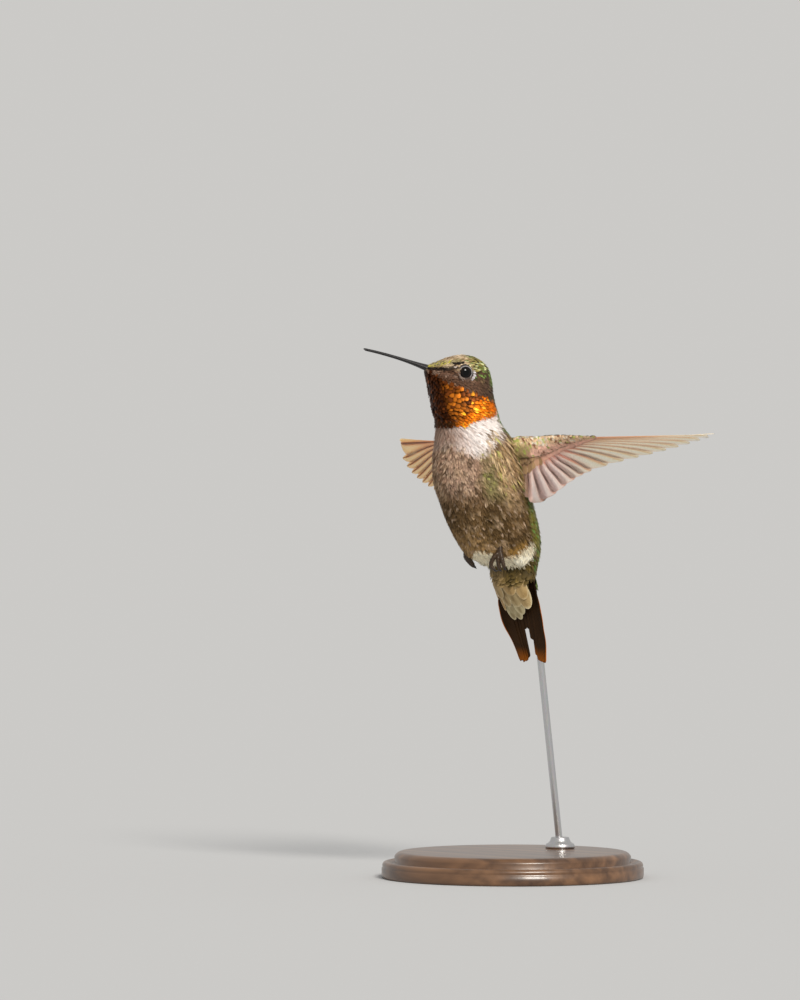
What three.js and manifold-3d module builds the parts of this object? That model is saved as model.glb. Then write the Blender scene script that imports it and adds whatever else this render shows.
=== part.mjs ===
// Ruby-throated hummingbird, adult male, hovering, as a life-size still model on a display stand.
// Millimetres, +Z up. The bird faces -Y, its left wing points to +X, and the origin is the centre
// of the underside of the round base.
import * as THREE from 'three';
import { mergeVertices } from 'three/addons/utils/BufferGeometryUtils.js';
import Module from 'manifold-3d';

const wasm = await Module();
wasm.setup();

// ---- Driving dimensions ----
const GAP = 0.3;                    // clearance between neighbouring pieces
const DEG = Math.PI / 180;

const neckAxisY = -14.5;            // upright axis about which the head turns
const headYaw = 30 * DEG;           // head turned to the bird's right
const ringPoints = 20;              // points round the body
const ringsPerStation = 2;          // rings between two body stations

const eyeRadius = 2.0;
const eyeForward = 2.1;             // eye centre ahead of the neck axis
const eyeSide = 3.75;               // eye centre out from the head's middle plane
const eyeHeight = 115.2;

const billStart = 10.6;             // bill base ahead of the neck axis
const billTip = 24.7;
const billBaseHeight = 116.15;
const billTipHeight = 120.45;
const billArch = 0.35;              // how far the bill bows above a straight line
const billBaseWidth = 2.1;
const billTipWidth = 0.62;
const billBaseDepth = 0.95;         // of one mandible
const billTipDepth = 0.5;

const shoulderSide = 7.5;
const shoulderY = -7.0;
const shoulderHeight = 100.9;
const wingSweep = 25 * DEG;         // wings swept back from straight out
const wingLength = 47.5;            // shoulder to wing tip
const wingChord = 14.4;             // leading edge to secondary tips
const wingTaper = { left: 1.05, right: 0.45 };  // how early the chord falls away towards the tip
const wingCamber = 0.7;
const wingTwist = { left: 60 * DEG, right: 8 * DEG };
const wingSpread = { left: 0.96, right: 1.0 };
const twistStart = 4;               // distance out where the wing starts to twist
const twistReach = 6;               // distance over which most of the twist comes in
const bladeThickness = 0.5;
const primaryCount = 10;
const secondaryCount = 6;

const tailRootY = 2.2;
const tailRootHeight = 66.4;
const tailLean = 14.5 * DEG;        // tail off the vertical, tip backwards
const tailFeathersPerSide = 5;
const tailShortLength = 9.2;        // middle pair
const tailLongLength = 17.8;        // outer pair

const standRadius = 30;
const standThickness = 6;
const standEdge = 1.2;              // rounded rim of the base
const rodRadius = 0.8;
const rodSocketDepth = 3;
const rodFoot = { y: 15.8, z: 6 };  // where the rod leaves the base's top
const rodBend = { y: 8.3, z: 56 };  // end of the straight length
const rodKnee = { y: 6.9, z: 66 };  // corner that the bend rounds off
const rodTip = { y: 1.0, z: 79 };   // inside the rump
const rodSteps = 8;
const rodSides = 10;

const palette = {
  back: 0x6f7a3a, head: 0x55502f, gorget: 0xc8701e, breast: 0xb9a796, belly: 0x7c6a4b,
  covert: 0x8f7d55, bill: 0x1d1c20, eye: 0x0d0a09, foot: 0x2b211b, wingArm: 0xa08b66,
  flight: 0xb98c76, tail: 0x2f241b, tuft: 0xd8cdb4, wood: 0x6a4427, steel: 0xb4b7ba,
};

// ---- Body stations, tail root to bill base ----
// forward and height place the middle of the section, side is its half width, back and front are
// its reach to the dorsal and the ventral outline, tilt is the spine's rise above the horizontal
// and turn is the share of the head's yaw.
const bodyStations = [
  { name: 'tailRoot', forward: -15.2, height: 66.9, side: 4.8, back: 3.6, front: 4.6, tilt: 90, turn: 0 },
  { name: 'rump', forward: -14.9, height: 69.4, side: 5.2, back: 5.0, front: 5.2, tilt: 90, turn: 0 },
  { name: 'tailCoverts', forward: -14.2, height: 71.5, side: 6.0, back: 5.9, front: 5.9, tilt: 90, turn: 0 },
  { name: 'vent', forward: -11.9, height: 73.1, side: 7.2, back: 8.7, front: 8.8, tilt: 90, turn: 0 },
  { name: 'flank', forward: -10.7, height: 75.3, side: 8.1, back: 10.0, front: 10.2, tilt: 90, turn: 0 },
  { name: 'lowerBelly', forward: -9.3, height: 78.3, side: 8.9, back: 10.8, front: 11.0, tilt: 90, turn: 0 },
  { name: 'belly', forward: -7.6, height: 82.0, side: 9.5, back: 11.2, front: 11.5, tilt: 90, turn: 0 },
  { name: 'lowerBreast', forward: -5.8, height: 86.0, side: 9.9, back: 11.2, front: 11.5, tilt: 90, turn: 0 },
  { name: 'breast', forward: -3.9, height: 90.5, side: 10.1, back: 11.0, front: 11.4, tilt: 90, turn: 0 },
  { name: 'upperBreast', forward: -2.6, height: 95.6, side: 9.8, back: 9.9, front: 10.2, tilt: 90, turn: 0 },
  { name: 'collar', forward: -1.7, height: 100.0, side: 8.8, back: 8.9, front: 9.2, tilt: 90, turn: 0.04 },
  { name: 'lowerNeck', forward: -0.2, height: 103.8, side: 7.2, back: 7.4, front: 8.0, tilt: 90, turn: 0.25 },
  { name: 'throat', forward: 0.9, height: 108.0, side: 6.4, back: 6.9, front: 7.8, tilt: 78, turn: 0.65 },
  { name: 'nape', forward: 2.0, height: 111.9, side: 6.1, back: 7.8, front: 7.7, tilt: 60, turn: 0.9 },
  { name: 'ear', forward: 3.6, height: 113.6, side: 5.9, back: 7.5, front: 6.9, tilt: 49, turn: 1 },
  { name: 'eye', forward: 5.2, height: 114.6, side: 5.3, back: 6.3, front: 5.9, tilt: 41, turn: 1 },
  { name: 'lore', forward: 6.8, height: 115.3, side: 4.2, back: 4.4, front: 4.6, tilt: 34, turn: 1 },
  { name: 'forehead', forward: 8.4, height: 115.8, side: 2.8, back: 2.3, front: 3.0, tilt: 27, turn: 1 },
  { name: 'billBase', forward: 10.2, height: 116.1, side: 1.35, back: 0.85, front: 1.0, tilt: 18, turn: 1 },
];
const stationNumber = Object.fromEntries(bodyStations.map((station, index) => [station.name, index]));

// ---- Small helpers ----
const smooth = (a, b, x) => {
  const t = Math.min(1, Math.max(0, (x - a) / (b - a)));
  return t * t * (3 - 2 * t);
};

// A closed geometry from points and faces.
function geometryFrom(points, faces) {
  const geometry = new THREE.BufferGeometry();
  geometry.setAttribute('position', new THREE.Float32BufferAttribute(points.flat(), 3));
  geometry.setIndex(faces.flat());
  return geometry;
}

// Rings of equal size, joined in order and closed by a fan at each end.
function loft(rings) {
  const count = rings[0].length;
  const points = rings.flat();
  const faces = [];
  for (let i = 0; i + 1 < rings.length; i += 1) {
    for (let j = 0; j < count; j += 1) {
      const next = (j + 1) % count;
      const a = i * count + j;
      const b = i * count + next;
      faces.push([a, b, b + count], [a, b + count, a + count]);
    }
  }
  for (const [ring, turned] of [[0, true], [rings.length - 1, false]]) {
    const centre = [0, 1, 2].map((axis) => rings[ring].reduce((sum, p) => sum + p[axis], 0) / count);
    const hub = points.push(centre) - 1;
    for (let j = 0; j < count; j += 1) {
      const a = ring * count + j;
      const b = ring * count + (j + 1) % count;
      faces.push(turned ? [hub, b, a] : [hub, a, b]);
    }
  }
  return outward(geometryFrom(points, faces));
}

// Turn a closed geometry inside out when its volume comes out negative.
function outward(geometry) {
  const position = geometry.attributes.position;
  const index = geometry.index.array;
  const corners = [new THREE.Vector3(), new THREE.Vector3(), new THREE.Vector3()];
  let volume = 0;
  for (let i = 0; i < index.length; i += 3) {
    corners.forEach((corner, k) => corner.fromBufferAttribute(position, index[i + k]));
    volume += corners[0].dot(corners[1].cross(corners[2]));
  }
  if (volume < 0) {
    for (let i = 0; i < index.length; i += 3) {
      [index[i], index[i + 1]] = [index[i + 1], index[i]];
    }
  }
  return geometry;
}

// Boolean work: a geometry to a manifold solid and back.
function solid(geometry) {
  const bare = geometry.clone();
  bare.deleteAttribute('normal');
  bare.deleteAttribute('uv');
  const merged = mergeVertices(bare, 1e-4);
  return new wasm.Manifold(new wasm.Mesh({
    numProp: 3,
    vertProperties: new Float32Array(merged.attributes.position.array),
    triVerts: new Uint32Array(merged.index.array),
  }));
}

function fromSolid(result) {
  const mesh = result.getMesh();
  const geometry = new THREE.BufferGeometry();
  geometry.setAttribute('position', new THREE.Float32BufferAttribute(mesh.vertProperties, 3));
  geometry.setIndex(Array.from(mesh.triVerts));
  return geometry;
}

// A tapering round rod through the given points, closed at both ends.
function taperedTube(path, radii, sides, steps) {
  const curve = new THREE.CatmullRomCurve3(path.map((p) => new THREE.Vector3(...p)));
  const frames = curve.computeFrenetFrames(steps, false);
  const rings = [];
  for (let i = 0; i <= steps; i += 1) {
    const share = i / steps;
    const centre = curve.getPointAt(share);
    const place = share * (radii.length - 1);
    const low = Math.min(Math.floor(place), radii.length - 2);
    const radius = THREE.MathUtils.lerp(radii[low], radii[low + 1], place - low);
    const ring = [];
    for (let j = 0; j < sides; j += 1) {
      const angle = (2 * Math.PI * j) / sides;
      const p = centre.clone();
      p.addScaledVector(frames.normals[i], radius * Math.cos(angle));
      p.addScaledVector(frames.binormals[i], radius * Math.sin(angle));
      ring.push(p.toArray());
    }
    rings.push(ring);
  }
  return loft(rings);
}

// ---- The body's surface ----
// Station values run between stations on a Catmull-Rom curve.
function stationValue(key, place) {
  const last = bodyStations.length - 1;
  const low = Math.min(Math.max(Math.floor(place), 0), last - 1);
  const t = place - low;
  const at = (k) => bodyStations[Math.min(Math.max(k, 0), last)][key];
  const [a, b, c, d] = [at(low - 1), at(low), at(low + 1), at(low + 2)];
  const bend = (2 * a - 5 * b + 4 * c - d) * t * t + (3 * b - a - 3 * c + d) * t * t * t;
  return 0.5 * (2 * b + (c - a) * t + bend);
}

// A point of the head or body, from its distances forward, to the left and up, and the yaw there.
function bodyPoint(forward, left, up, yaw) {
  return [
    left * Math.cos(yaw) - forward * Math.sin(yaw),
    neckAxisY - forward * Math.cos(yaw) - left * Math.sin(yaw),
    up,
  ];
}

// One ring of the body: an ellipse whose dorsal and ventral halves have their own reach.
function bodyRing(place, swell) {
  const tilt = stationValue('tilt', place) * DEG;
  const yaw = stationValue('turn', place) * headYaw;
  const ring = [];
  for (let j = 0; j < ringPoints; j += 1) {
    const angle = (2 * Math.PI * j) / ringPoints;
    const left = (stationValue('side', place) + swell) * Math.cos(angle);
    const reach = stationValue(Math.sin(angle) > 0 ? 'back' : 'front', place) + swell;
    const rise = reach * Math.sin(angle);
    const forward = stationValue('forward', place) - rise * Math.sin(tilt);
    const up = stationValue('height', place) + rise * Math.cos(tilt);
    ring.push(bodyPoint(forward, left, up, yaw));
  }
  return ring;
}

// A length of the body between two station places, swollen by a given amount.
function bodyLength(from, to, swell = 0) {
  const steps = Math.max(2, Math.round((to - from) * ringsPerStation));
  const rings = [];
  for (let i = 0; i <= steps; i += 1) {
    rings.push(bodyRing(from + ((to - from) * i) / steps, swell));
  }
  return loft(rings);
}

const clearBody = solid(bodyLength(-0.12, bodyStations.length - 1, GAP));

// What is left of a piece outside the body: its largest part, clear of the body by the gap.
function outsideBody(piece) {
  const parts = piece.subtract(clearBody).decompose();
  return fromSolid(parts.reduce((a, b) => (a.volume() > b.volume() ? a : b)));
}

// ---- Display stand ----
function rodGeometry(radius, footDepth) {
  const bend = new THREE.Vector2(rodBend.y, rodBend.z);
  const rise = bend.clone().sub(new THREE.Vector2(rodFoot.y, rodFoot.z)).normalize();
  const foot = new THREE.Vector2(rodFoot.y, rodFoot.z).addScaledVector(rise, -footDepth);
  const knee = new THREE.Vector2(rodKnee.y, rodKnee.z);
  const curve = new THREE.QuadraticBezierCurve(bend, knee, new THREE.Vector2(rodTip.y, rodTip.z));
  const path = [foot, ...curve.getPoints(rodSteps)];
  const rings = path.map((place, i) => {
    const before = path[Math.max(i - 1, 0)];
    const along = path[Math.min(i + 1, path.length - 1)].clone().sub(before).normalize();
    return Array.from({ length: rodSides }, (_, j) => {
      const angle = (2 * Math.PI * j) / rodSides;
      const across = radius * Math.sin(angle);
      return [radius * Math.cos(angle), place.x - along.y * across, place.y + along.x * across];
    });
  });
  return loft(rings);
}

function standBaseGeometry() {
  const rim = 3;
  const profile = [new THREE.Vector2(0, 0), new THREE.Vector2(standRadius - 0.4, 0)];
  profile.push(new THREE.Vector2(standRadius, 0.4));
  for (let i = 0; i <= rim; i += 1) {
    const angle = (i / rim) * (Math.PI / 2);
    const radius = standRadius - standEdge + standEdge * Math.cos(angle);
    profile.push(new THREE.Vector2(radius, standThickness - standEdge + standEdge * Math.sin(angle)));
  }
  profile.push(new THREE.Vector2(0, standThickness));
  const geometry = new THREE.LatheGeometry(profile, 48).rotateX(Math.PI / 2);
  const hole = rodGeometry(rodRadius + GAP, rodSocketDepth);
  return fromSolid(solid(outward(mergeVertices(bareCopy(geometry), 1e-4))).subtract(solid(hole)));
}

function bareCopy(geometry) {
  const bare = geometry.clone();
  bare.deleteAttribute('normal');
  bare.deleteAttribute('uv');
  return bare;
}

// A small turned collar on the base, bored along the leaning rod.
function standCollarGeometry() {
  const profile = [[0, 0], [3.4, 0], [3.4, 0.7], [2.5, 1.3], [2.1, 2.6], [0, 2.6]];
  const geometry = new THREE.LatheGeometry(profile.map((p) => new THREE.Vector2(...p)), 20);
  geometry.rotateX(Math.PI / 2).translate(0, rodFoot.y, standThickness + 0.02);
  const bore = rodGeometry(rodRadius + GAP, rodSocketDepth);
  return fromSolid(solid(outward(mergeVertices(bareCopy(geometry), 1e-4))).subtract(solid(bore)));
}

// ---- Wings ----
// Planform places are out from the shoulder and down the chord from the leading edge.
const trailingEdge = (side, out) => wingChord * (1 - (out / wingLength) ** 2) ** wingTaper[side];
const leadingEdge = (out) => -0.5 * smooth(4, 12, out) + 0.5 * smooth(12, 24, out) - (out / wingLength) ** 6;

function wingPoint(side, out, down, rise) {
  const mirror = side === 'left' ? 1 : -1;
  const twist = wingTwist[side] * (1 - Math.exp(-Math.max(0, out - twistStart) / twistReach));
  const spread = 1 - (1 - wingSpread[side]) * smooth(4, 14, out);
  const chord = Math.max(trailingEdge(side, Math.min(out, wingLength)), 1);
  const share = Math.min(Math.max(down / chord, 0), 1);
  const lift = rise + wingCamber * 4 * share * (1 - share);
  const drop = leadingEdge(out) + (down - leadingEdge(out)) * spread;
  const behind = drop * Math.sin(twist) + lift * Math.cos(twist);
  const below = drop * Math.cos(twist) - lift * Math.sin(twist);
  return [
    mirror * (shoulderSide + out * Math.cos(wingSweep) - behind * Math.sin(wingSweep)),
    shoulderY + out * Math.sin(wingSweep) + behind * Math.cos(wingSweep),
    shoulderHeight - below,
  ];
}

// A feather blade of even thickness from a grid of planform places.
function blade(grid, place, thickness) {
  const rows = grid.length;
  const columns = grid[0].length;
  const points = [];
  const at = (level, i, j) => (level * rows + i) * columns + j;
  for (const level of [-0.5, 0.5]) {
    grid.forEach((row) => row.forEach(([u, v]) => points.push(place(u, v, level * thickness))));
  }
  const faces = [];
  const quad = (a, b, c, d) => faces.push([a, b, c], [a, c, d]);
  for (let i = 0; i + 1 < rows; i += 1) {
    for (let j = 0; j + 1 < columns; j += 1) {
      quad(at(0, i, j), at(0, i + 1, j), at(0, i + 1, j + 1), at(0, i, j + 1));
      quad(at(1, i, j), at(1, i, j + 1), at(1, i + 1, j + 1), at(1, i + 1, j));
    }
  }
  for (let i = 0; i + 1 < rows; i += 1) {
    quad(at(0, i, 0), at(1, i, 0), at(1, i + 1, 0), at(0, i + 1, 0));
    quad(at(0, i, columns - 1), at(0, i + 1, columns - 1), at(1, i + 1, columns - 1), at(1, i, columns - 1));
  }
  for (let j = 0; j + 1 < columns; j += 1) {
    quad(at(0, 0, j), at(0, 0, j + 1), at(1, 0, j + 1), at(1, 0, j));
    quad(at(0, rows - 1, j), at(1, rows - 1, j), at(1, rows - 1, j + 1), at(0, rows - 1, j + 1));
  }
  return outward(geometryFrom(points, faces));
}

// The strip between two edge curves, narrowed to a rounded tip and kept clear of its neighbours.
function strip(edgeA, edgeB, rows, tipStart, clearance) {
  const grid = [];
  for (let i = 0; i <= rows; i += 1) {
    const t = i / rows;
    const a = edgeA(t);
    const b = edgeB(t);
    const middle = [(a[0] + b[0]) / 2, (a[1] + b[1]) / 2];
    const half = [(b[0] - a[0]) / 2, (b[1] - a[1]) / 2];
    const width = Math.hypot(...half);
    const tip = Math.max(0, (t - tipStart) / (1 - tipStart));
    const round = Math.max(Math.sqrt(1 - tip * tip), 0.22);
    const keep = (Math.max(width - clearance, 0.12) / width) * round;
    grid.push([-1, 0, 1].map((k) => [middle[0] + k * keep * half[0], middle[1] + k * keep * half[1]]));
  }
  return grid;
}

// The line along which the coverts end and the flight feathers show, from shoulder to wing tip.
const covertLine = (share) => [3.0 + 16.2 * share, 5.2 - 4.4 * share ** 1.7];

// Edge j of the primaries: from the covert line to the wing's outline, bowed backwards.
function primaryEdge(side, j) {
  const share = j / primaryCount;
  const from = covertLine(0.36 + 0.64 * share);
  const out = 15.6 + (wingLength - 15.6) * (1 - (1 - share) ** 1.35);
  const to = [out, Math.max(trailingEdge(side, out), leadingEdge(out))];
  const bow = 0.05 * (1 - share);
  return (t) => [
    from[0] + (to[0] - from[0]) * t + bow * (to[1] - from[1]) * Math.sin(Math.PI * t),
    from[1] + (to[1] - from[1]) * t ** (1 + 0.5 * share),
  ];
}

function primaryGeometry(side, number) {
  const grid = strip(primaryEdge(side, number - 1), primaryEdge(side, number), 7, 0.84, GAP / 2);
  return blade(grid, (u, v, w) => wingPoint(side, u, v, w), bladeThickness);
}

function secondariesGeometry(side) {
  const columns = secondaryCount * 3;
  const rows = 3;
  const outerEdge = primaryEdge(side, 0);
  const innerFoot = [covertLine(0)[0], covertLine(0)[1] + GAP];
  const innerTip = [4.4, trailingEdge(side, 4.4) * 1.09];
  const grid = [];
  for (let i = 0; i <= rows; i += 1) {
    const t = i / rows;
    const row = [];
    for (let j = 0; j <= columns; j += 1) {
      const share = j / columns;
      const foot = covertLine(0.36 * share);
      const edge = outerEdge(t);
      const scallop = 0.55 * (1 - Math.abs(Math.sin(Math.PI * share * secondaryCount)));
      const inner = [
        innerFoot[0] + (innerTip[0] - innerFoot[0]) * t,
        innerFoot[1] + (innerTip[1] - innerFoot[1]) * t,
      ];
      const across = inner[0] + (edge[0] - GAP / 2 - inner[0]) * share;
      const start = foot[1] + GAP;
      const tip = trailingEdge(side, across) * (1.09 - 0.09 * smooth(0, 0.6, share)) - scallop;
      row.push([across, start + (tip - start) * t]);
    }
    grid.push(row);
  }
  return blade(grid, (u, v, w) => wingPoint(side, u, v, w), bladeThickness);
}

// Upper arm, forearm and hand with their coverts: flattened ellipses from shoulder to hand tip.
function wingArmGeometry(side) {
  const rings = [];
  const steps = 12;
  const armStart = -3.5;
  const armEnd = 19.0;
  for (let i = 0; i <= steps; i += 1) {
    const out = armStart + ((armEnd - armStart) * i) / steps;
    const share = Math.min(Math.max((out - 3.0) / 16.2, 0), 1);
    const low = covertLine(share)[1] - GAP;
    const high = leadingEdge(out) - 0.15;
    const thick = 0.3 + 1.7 * (1 - smooth(-2, 18, out));
    const ring = Array.from({ length: 12 }, (_, j) => {
      const angle = (2 * Math.PI * j) / 12;
      const down = (low + high) / 2 + ((low - high) / 2) * Math.cos(angle);
      return wingPoint(side, out, down, thick * Math.sin(angle) - 0.2);
    });
    rings.push(ring);
  }
  return outsideBody(solid(loft(rings)));
}

// ---- Tail ----
const tailOutline = (along) => 5.9 + 0.7 * smooth(0, 4, along) - 2.8 * smooth(6, 20, along);

// The outer feathers are cupped towards the underside, most near the root.
const tailCup = (x, along) => smooth(4.7, 6.9, Math.abs(x)) * (1 - smooth(9, 16, along));

function tailPoint(x, along, rise) {
  const lift = rise - tailCup(x, along);
  return [
    x,
    tailRootY + along * Math.sin(tailLean) + lift * Math.cos(tailLean),
    tailRootHeight - along * Math.cos(tailLean) + lift * Math.sin(tailLean),
  ];
}

function tailFeatherGeometry(mirror, number) {
  const share = (number - 1) / (tailFeathersPerSide - 1);
  const length = tailShortLength + (tailLongLength - tailShortLength) * (1 - (1 - share) ** 3.4);
  const edge = (k) => (t) => [mirror * (k / tailFeathersPerSide) * tailOutline(t * length), t * length];
  const grid = strip(edge(number - 1), edge(number), 6, 0.84, 0.12);
  return blade(grid, tailPoint, bladeThickness);
}

// The wedge of feathers under the root of the tail.
function undertailGeometry() {
  const steps = 8;
  const start = -1.6;
  const end = 8.0;
  const rings = [];
  for (let i = 0; i <= steps; i += 1) {
    const t = i / steps;
    const width = 4.7 * Math.sqrt(1 - 0.93 * t * t);
    const depth = 5.4 * (1 - t) ** 1.05 + 0.45;
    const ring = Array.from({ length: 12 }, (_, j) => {
      const angle = (Math.PI * j) / 11;
      const rise = -bladeThickness / 2 - GAP - depth * Math.sin(angle);
      return tailPoint(width * Math.cos(angle), start + t * (end - start), rise);
    });
    rings.push(ring);
  }
  return outsideBody(solid(loft(rings)));
}

// ---- Head fittings ----
function billGeometry(upper) {
  const steps = 8;
  const sides = 9;
  const rings = [];
  for (let i = 0; i <= steps; i += 1) {
    const t = i / steps;
    const forward = billStart + (billTip - billStart) * t;
    const arch = billArch * 4 * t * (1 - t);
    const height = billBaseHeight + (billTipHeight - billBaseHeight) * t + arch;
    const width = THREE.MathUtils.lerp(billBaseWidth, billTipWidth, t ** 0.55) / 2;
    const depth = THREE.MathUtils.lerp(billBaseDepth, billTipDepth, t ** 0.6);
    const seam = upper ? 0.06 : -0.06;
    const ring = Array.from({ length: sides }, (_, j) => {
      const angle = (Math.PI * j) / (sides - 1);
      const rise = seam + (upper ? 1 : -1) * depth * Math.sin(angle);
      return bodyPoint(forward, width * Math.cos(angle), height + rise, headYaw);
    });
    rings.push(ring);
  }
  return loft(rings);
}

function eyePlace(mirror) {
  return bodyPoint(eyeForward, mirror * eyeSide, eyeHeight, headYaw);
}

function headGeometry(from, to) {
  let head = solid(bodyLength(from, to));
  for (const mirror of [1, -1]) {
    const socket = new THREE.SphereGeometry(eyeRadius + GAP, 16, 10).translate(...eyePlace(mirror));
    head = head.subtract(solid(socket));
  }
  return fromSolid(head);
}

// ---- Legs ----
// The bare foot: a short shank, three toes forward and one back. The shank's stops are places, the
// toes' stops are steps from the knuckle, where the shank ends.
const feet = {
  left: {
    shank: [[4.8, -7.6, 77.4], [5.9, -10.1, 76.0], [6.1, -10.5, 74.7]],
    toes: [
      [[-0.9, -1.1, -1.4], [-1.5, -1.4, -3.0], [-0.9, -0.8, -4.4]],
      [[-0.1, -0.5, -1.6], [-0.1, -0.3, -3.1], [0.0, 0.1, -4.4]],
      [[0.6, -0.1, -1.4], [0.9, 0.1, -2.8], [1.0, 0.5, -4.0]],
    ],
    hind: [[-0.3, 0.8, -0.8], [-0.5, 1.2, -1.7]],
  },
  right: {
    shank: [[-4.6, -7.8, 76.6], [-5.5, -10.4, 75.3], [-5.3, -10.3, 73.9]],
    toes: [
      [[-0.4, 0.3, -1.3], [-0.3, 1.2, -2.4], [0.2, 2.0, -3.3]],
      [[0.0, 0.2, -1.5], [0.2, 1.2, -2.8], [0.6, 2.2, -3.7]],
      [[0.4, 0.2, -1.3], [0.7, 1.0, -2.5], [1.0, 1.7, -3.3]],
    ],
    hind: [[0.1, 1.0, -0.6], [0.3, 1.6, -1.3]],
  },
};

function footGeometry(side) {
  const { shank, toes, hind } = feet[side];
  const knuckle = shank[2];
  const fromKnuckle = (steps) => [knuckle, ...steps.map((step) => step.map((d, k) => knuckle[k] + d))];
  let foot = solid(taperedTube(shank, [0.44, 0.54, 0.56], 7, 4));
  for (const toe of toes) {
    foot = foot.add(solid(taperedTube(fromKnuckle(toe), [0.46, 0.44, 0.4, 0.26], 6, 5)));
  }
  foot = foot.add(solid(taperedTube(fromKnuckle(hind), [0.4, 0.34, 0.26], 6, 3)));
  return outsideBody(foot);
}

// The feathered thigh with its fluffy tuft, standing a little proud of the belly's side.
function thighGeometry(mirror) {
  const tuft = new THREE.SphereGeometry(1, 14, 8).scale(2.7, 4.3, 3.3).rotateX(-20 * DEG);
  tuft.translate(mirror * 5.6, -2.9, 73.9);
  return outsideBody(solid(tuft));
}

// ---- Assembly ----
const bird = new THREE.Group();

function add(name, geometry, color, roughness, metalness = 0) {
  const material = new THREE.MeshStandardMaterial({ color, roughness, metalness, flatShading: true });
  const mesh = new THREE.Mesh(geometry, material);
  mesh.name = name;
  bird.add(mesh);
  return mesh;
}

const cuts = {
  rump: [0, stationNumber.flank],
  belly: [stationNumber.flank, stationNumber.breast],
  breast: [stationNumber.breast, stationNumber.collar + 0.4],
  neck: [stationNumber.collar + 0.4, stationNumber.throat + 0.45],
  head: [stationNumber.throat + 0.45, stationNumber.billBase],
};
const cutShare = 0.032;             // half a cut, as a share of the way between stations
const clearRod = solid(rodGeometry(rodRadius + GAP, 0));

for (const [name, color] of [['rump', palette.back], ['belly', palette.belly], ['breast', palette.breast]]) {
  const from = cuts[name][0] + (name === 'rump' ? 0 : cutShare);
  const length = bodyLength(from, cuts[name][1] - cutShare);
  add(name, fromSolid(solid(length).subtract(clearRod)), color, 0.8);
}
add('neck', bodyLength(cuts.neck[0] + cutShare, cuts.neck[1] - cutShare * 1.5), palette.gorget, 0.5);
add('head', headGeometry(cuts.head[0] + cutShare * 1.5, cuts.head[1]), palette.head, 0.7);
add('bill_upper', billGeometry(true), palette.bill, 0.35);
add('bill_lower', billGeometry(false), palette.bill, 0.35);
add('undertail_coverts', undertailGeometry(), palette.covert, 0.8);

for (const [side, mirror] of [['left', 1], ['right', -1]]) {
  const eye = add(`eye_${side}`, new THREE.SphereGeometry(eyeRadius, 16, 10), palette.eye, 0.08);
  eye.position.set(...eyePlace(mirror));
  add(`thigh_${side}`, thighGeometry(mirror), palette.tuft, 0.9);
  add(`foot_${side}`, footGeometry(side), palette.foot, 0.5);
  add(`wing_${side}_arm`, wingArmGeometry(side), palette.wingArm, 0.7);
  add(`wing_${side}_secondaries`, secondariesGeometry(side), palette.flight, 0.5);
  for (let number = 1; number <= primaryCount; number += 1) {
    add(`wing_${side}_primary_${number}`, primaryGeometry(side, number), palette.flight, 0.5);
  }
  for (let number = 1; number <= tailFeathersPerSide; number += 1) {
    add(`tail_${side}_${number}`, tailFeatherGeometry(mirror, number), palette.tail, 0.5);
  }
}

add('stand_base', standBaseGeometry(), palette.wood, 0.45);
add('stand_collar', standCollarGeometry(), palette.steel, 0.25, 1);
add('stand_rod', rodGeometry(rodRadius, rodSocketDepth - GAP), palette.steel, 0.25, 1);

export default bird;
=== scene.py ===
import math

import bpy
import numpy as np
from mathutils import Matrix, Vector, kdtree


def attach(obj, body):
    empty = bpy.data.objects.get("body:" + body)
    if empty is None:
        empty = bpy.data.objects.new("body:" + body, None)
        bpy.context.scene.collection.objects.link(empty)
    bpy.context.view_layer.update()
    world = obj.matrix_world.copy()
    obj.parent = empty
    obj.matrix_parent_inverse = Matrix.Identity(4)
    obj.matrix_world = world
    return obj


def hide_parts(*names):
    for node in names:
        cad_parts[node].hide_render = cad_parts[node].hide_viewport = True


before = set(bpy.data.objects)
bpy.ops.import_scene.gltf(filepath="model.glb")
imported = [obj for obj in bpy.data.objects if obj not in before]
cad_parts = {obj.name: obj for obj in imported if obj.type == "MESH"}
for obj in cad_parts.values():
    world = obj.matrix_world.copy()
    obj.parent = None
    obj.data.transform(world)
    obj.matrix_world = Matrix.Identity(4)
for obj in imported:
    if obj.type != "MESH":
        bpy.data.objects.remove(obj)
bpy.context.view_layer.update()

MM = 0.001                                  # metres in a millimetre; the sizes below are millimetres

# ---- Camera ----
# The bird is seen level, from its left front, from 1.26 m away, small in a tall frame.
view_right = np.array([math.sqrt(0.5), math.sqrt(0.5), 0.0])
view_back = np.array([math.sqrt(0.5), -math.sqrt(0.5), 0.0])
camera_distance = 1260.0
frame_height = 227.3                        # height of the frame at the bird's distance
bird_middle = np.array([0.0, -12.0, 86.4])
aim_aside = 17.3                            # how far the camera looks past the bird, to the left
aim_point = bird_middle - aim_aside * view_right

camera_data = bpy.data.cameras.new("camera")
camera_data.sensor_width = 36.0
camera_data.lens = camera_data.sensor_width * camera_distance / frame_height
camera_data.clip_end = 100.0
camera = bpy.data.objects.new("camera", camera_data)
camera.location = (aim_point + camera_distance * view_back) * MM
camera.rotation_euler = Vector(view_back).to_track_quat("Z", "Y").to_euler()
bpy.context.collection.objects.link(camera)
bpy.context.scene.camera = camera
bpy.context.scene.view_settings.view_transform = "Standard"

# ---- Light ----
# Plain studio light: one broad soft warm lamp above the camera and to its right, and an even pale
# surround that fills the shadows. The surround is seen a little brighter than it shines.
def add_node(tree, kind, **settings):
    """One shader node: settings named after its properties are set, the others are inputs' values."""
    node = tree.nodes.new("ShaderNode" + kind)
    for key, value in settings.items():
        if hasattr(node, key):
            setattr(node, key, value)
        else:
            node.inputs[key.replace("_", " ")].default_value = value
    return node


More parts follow.
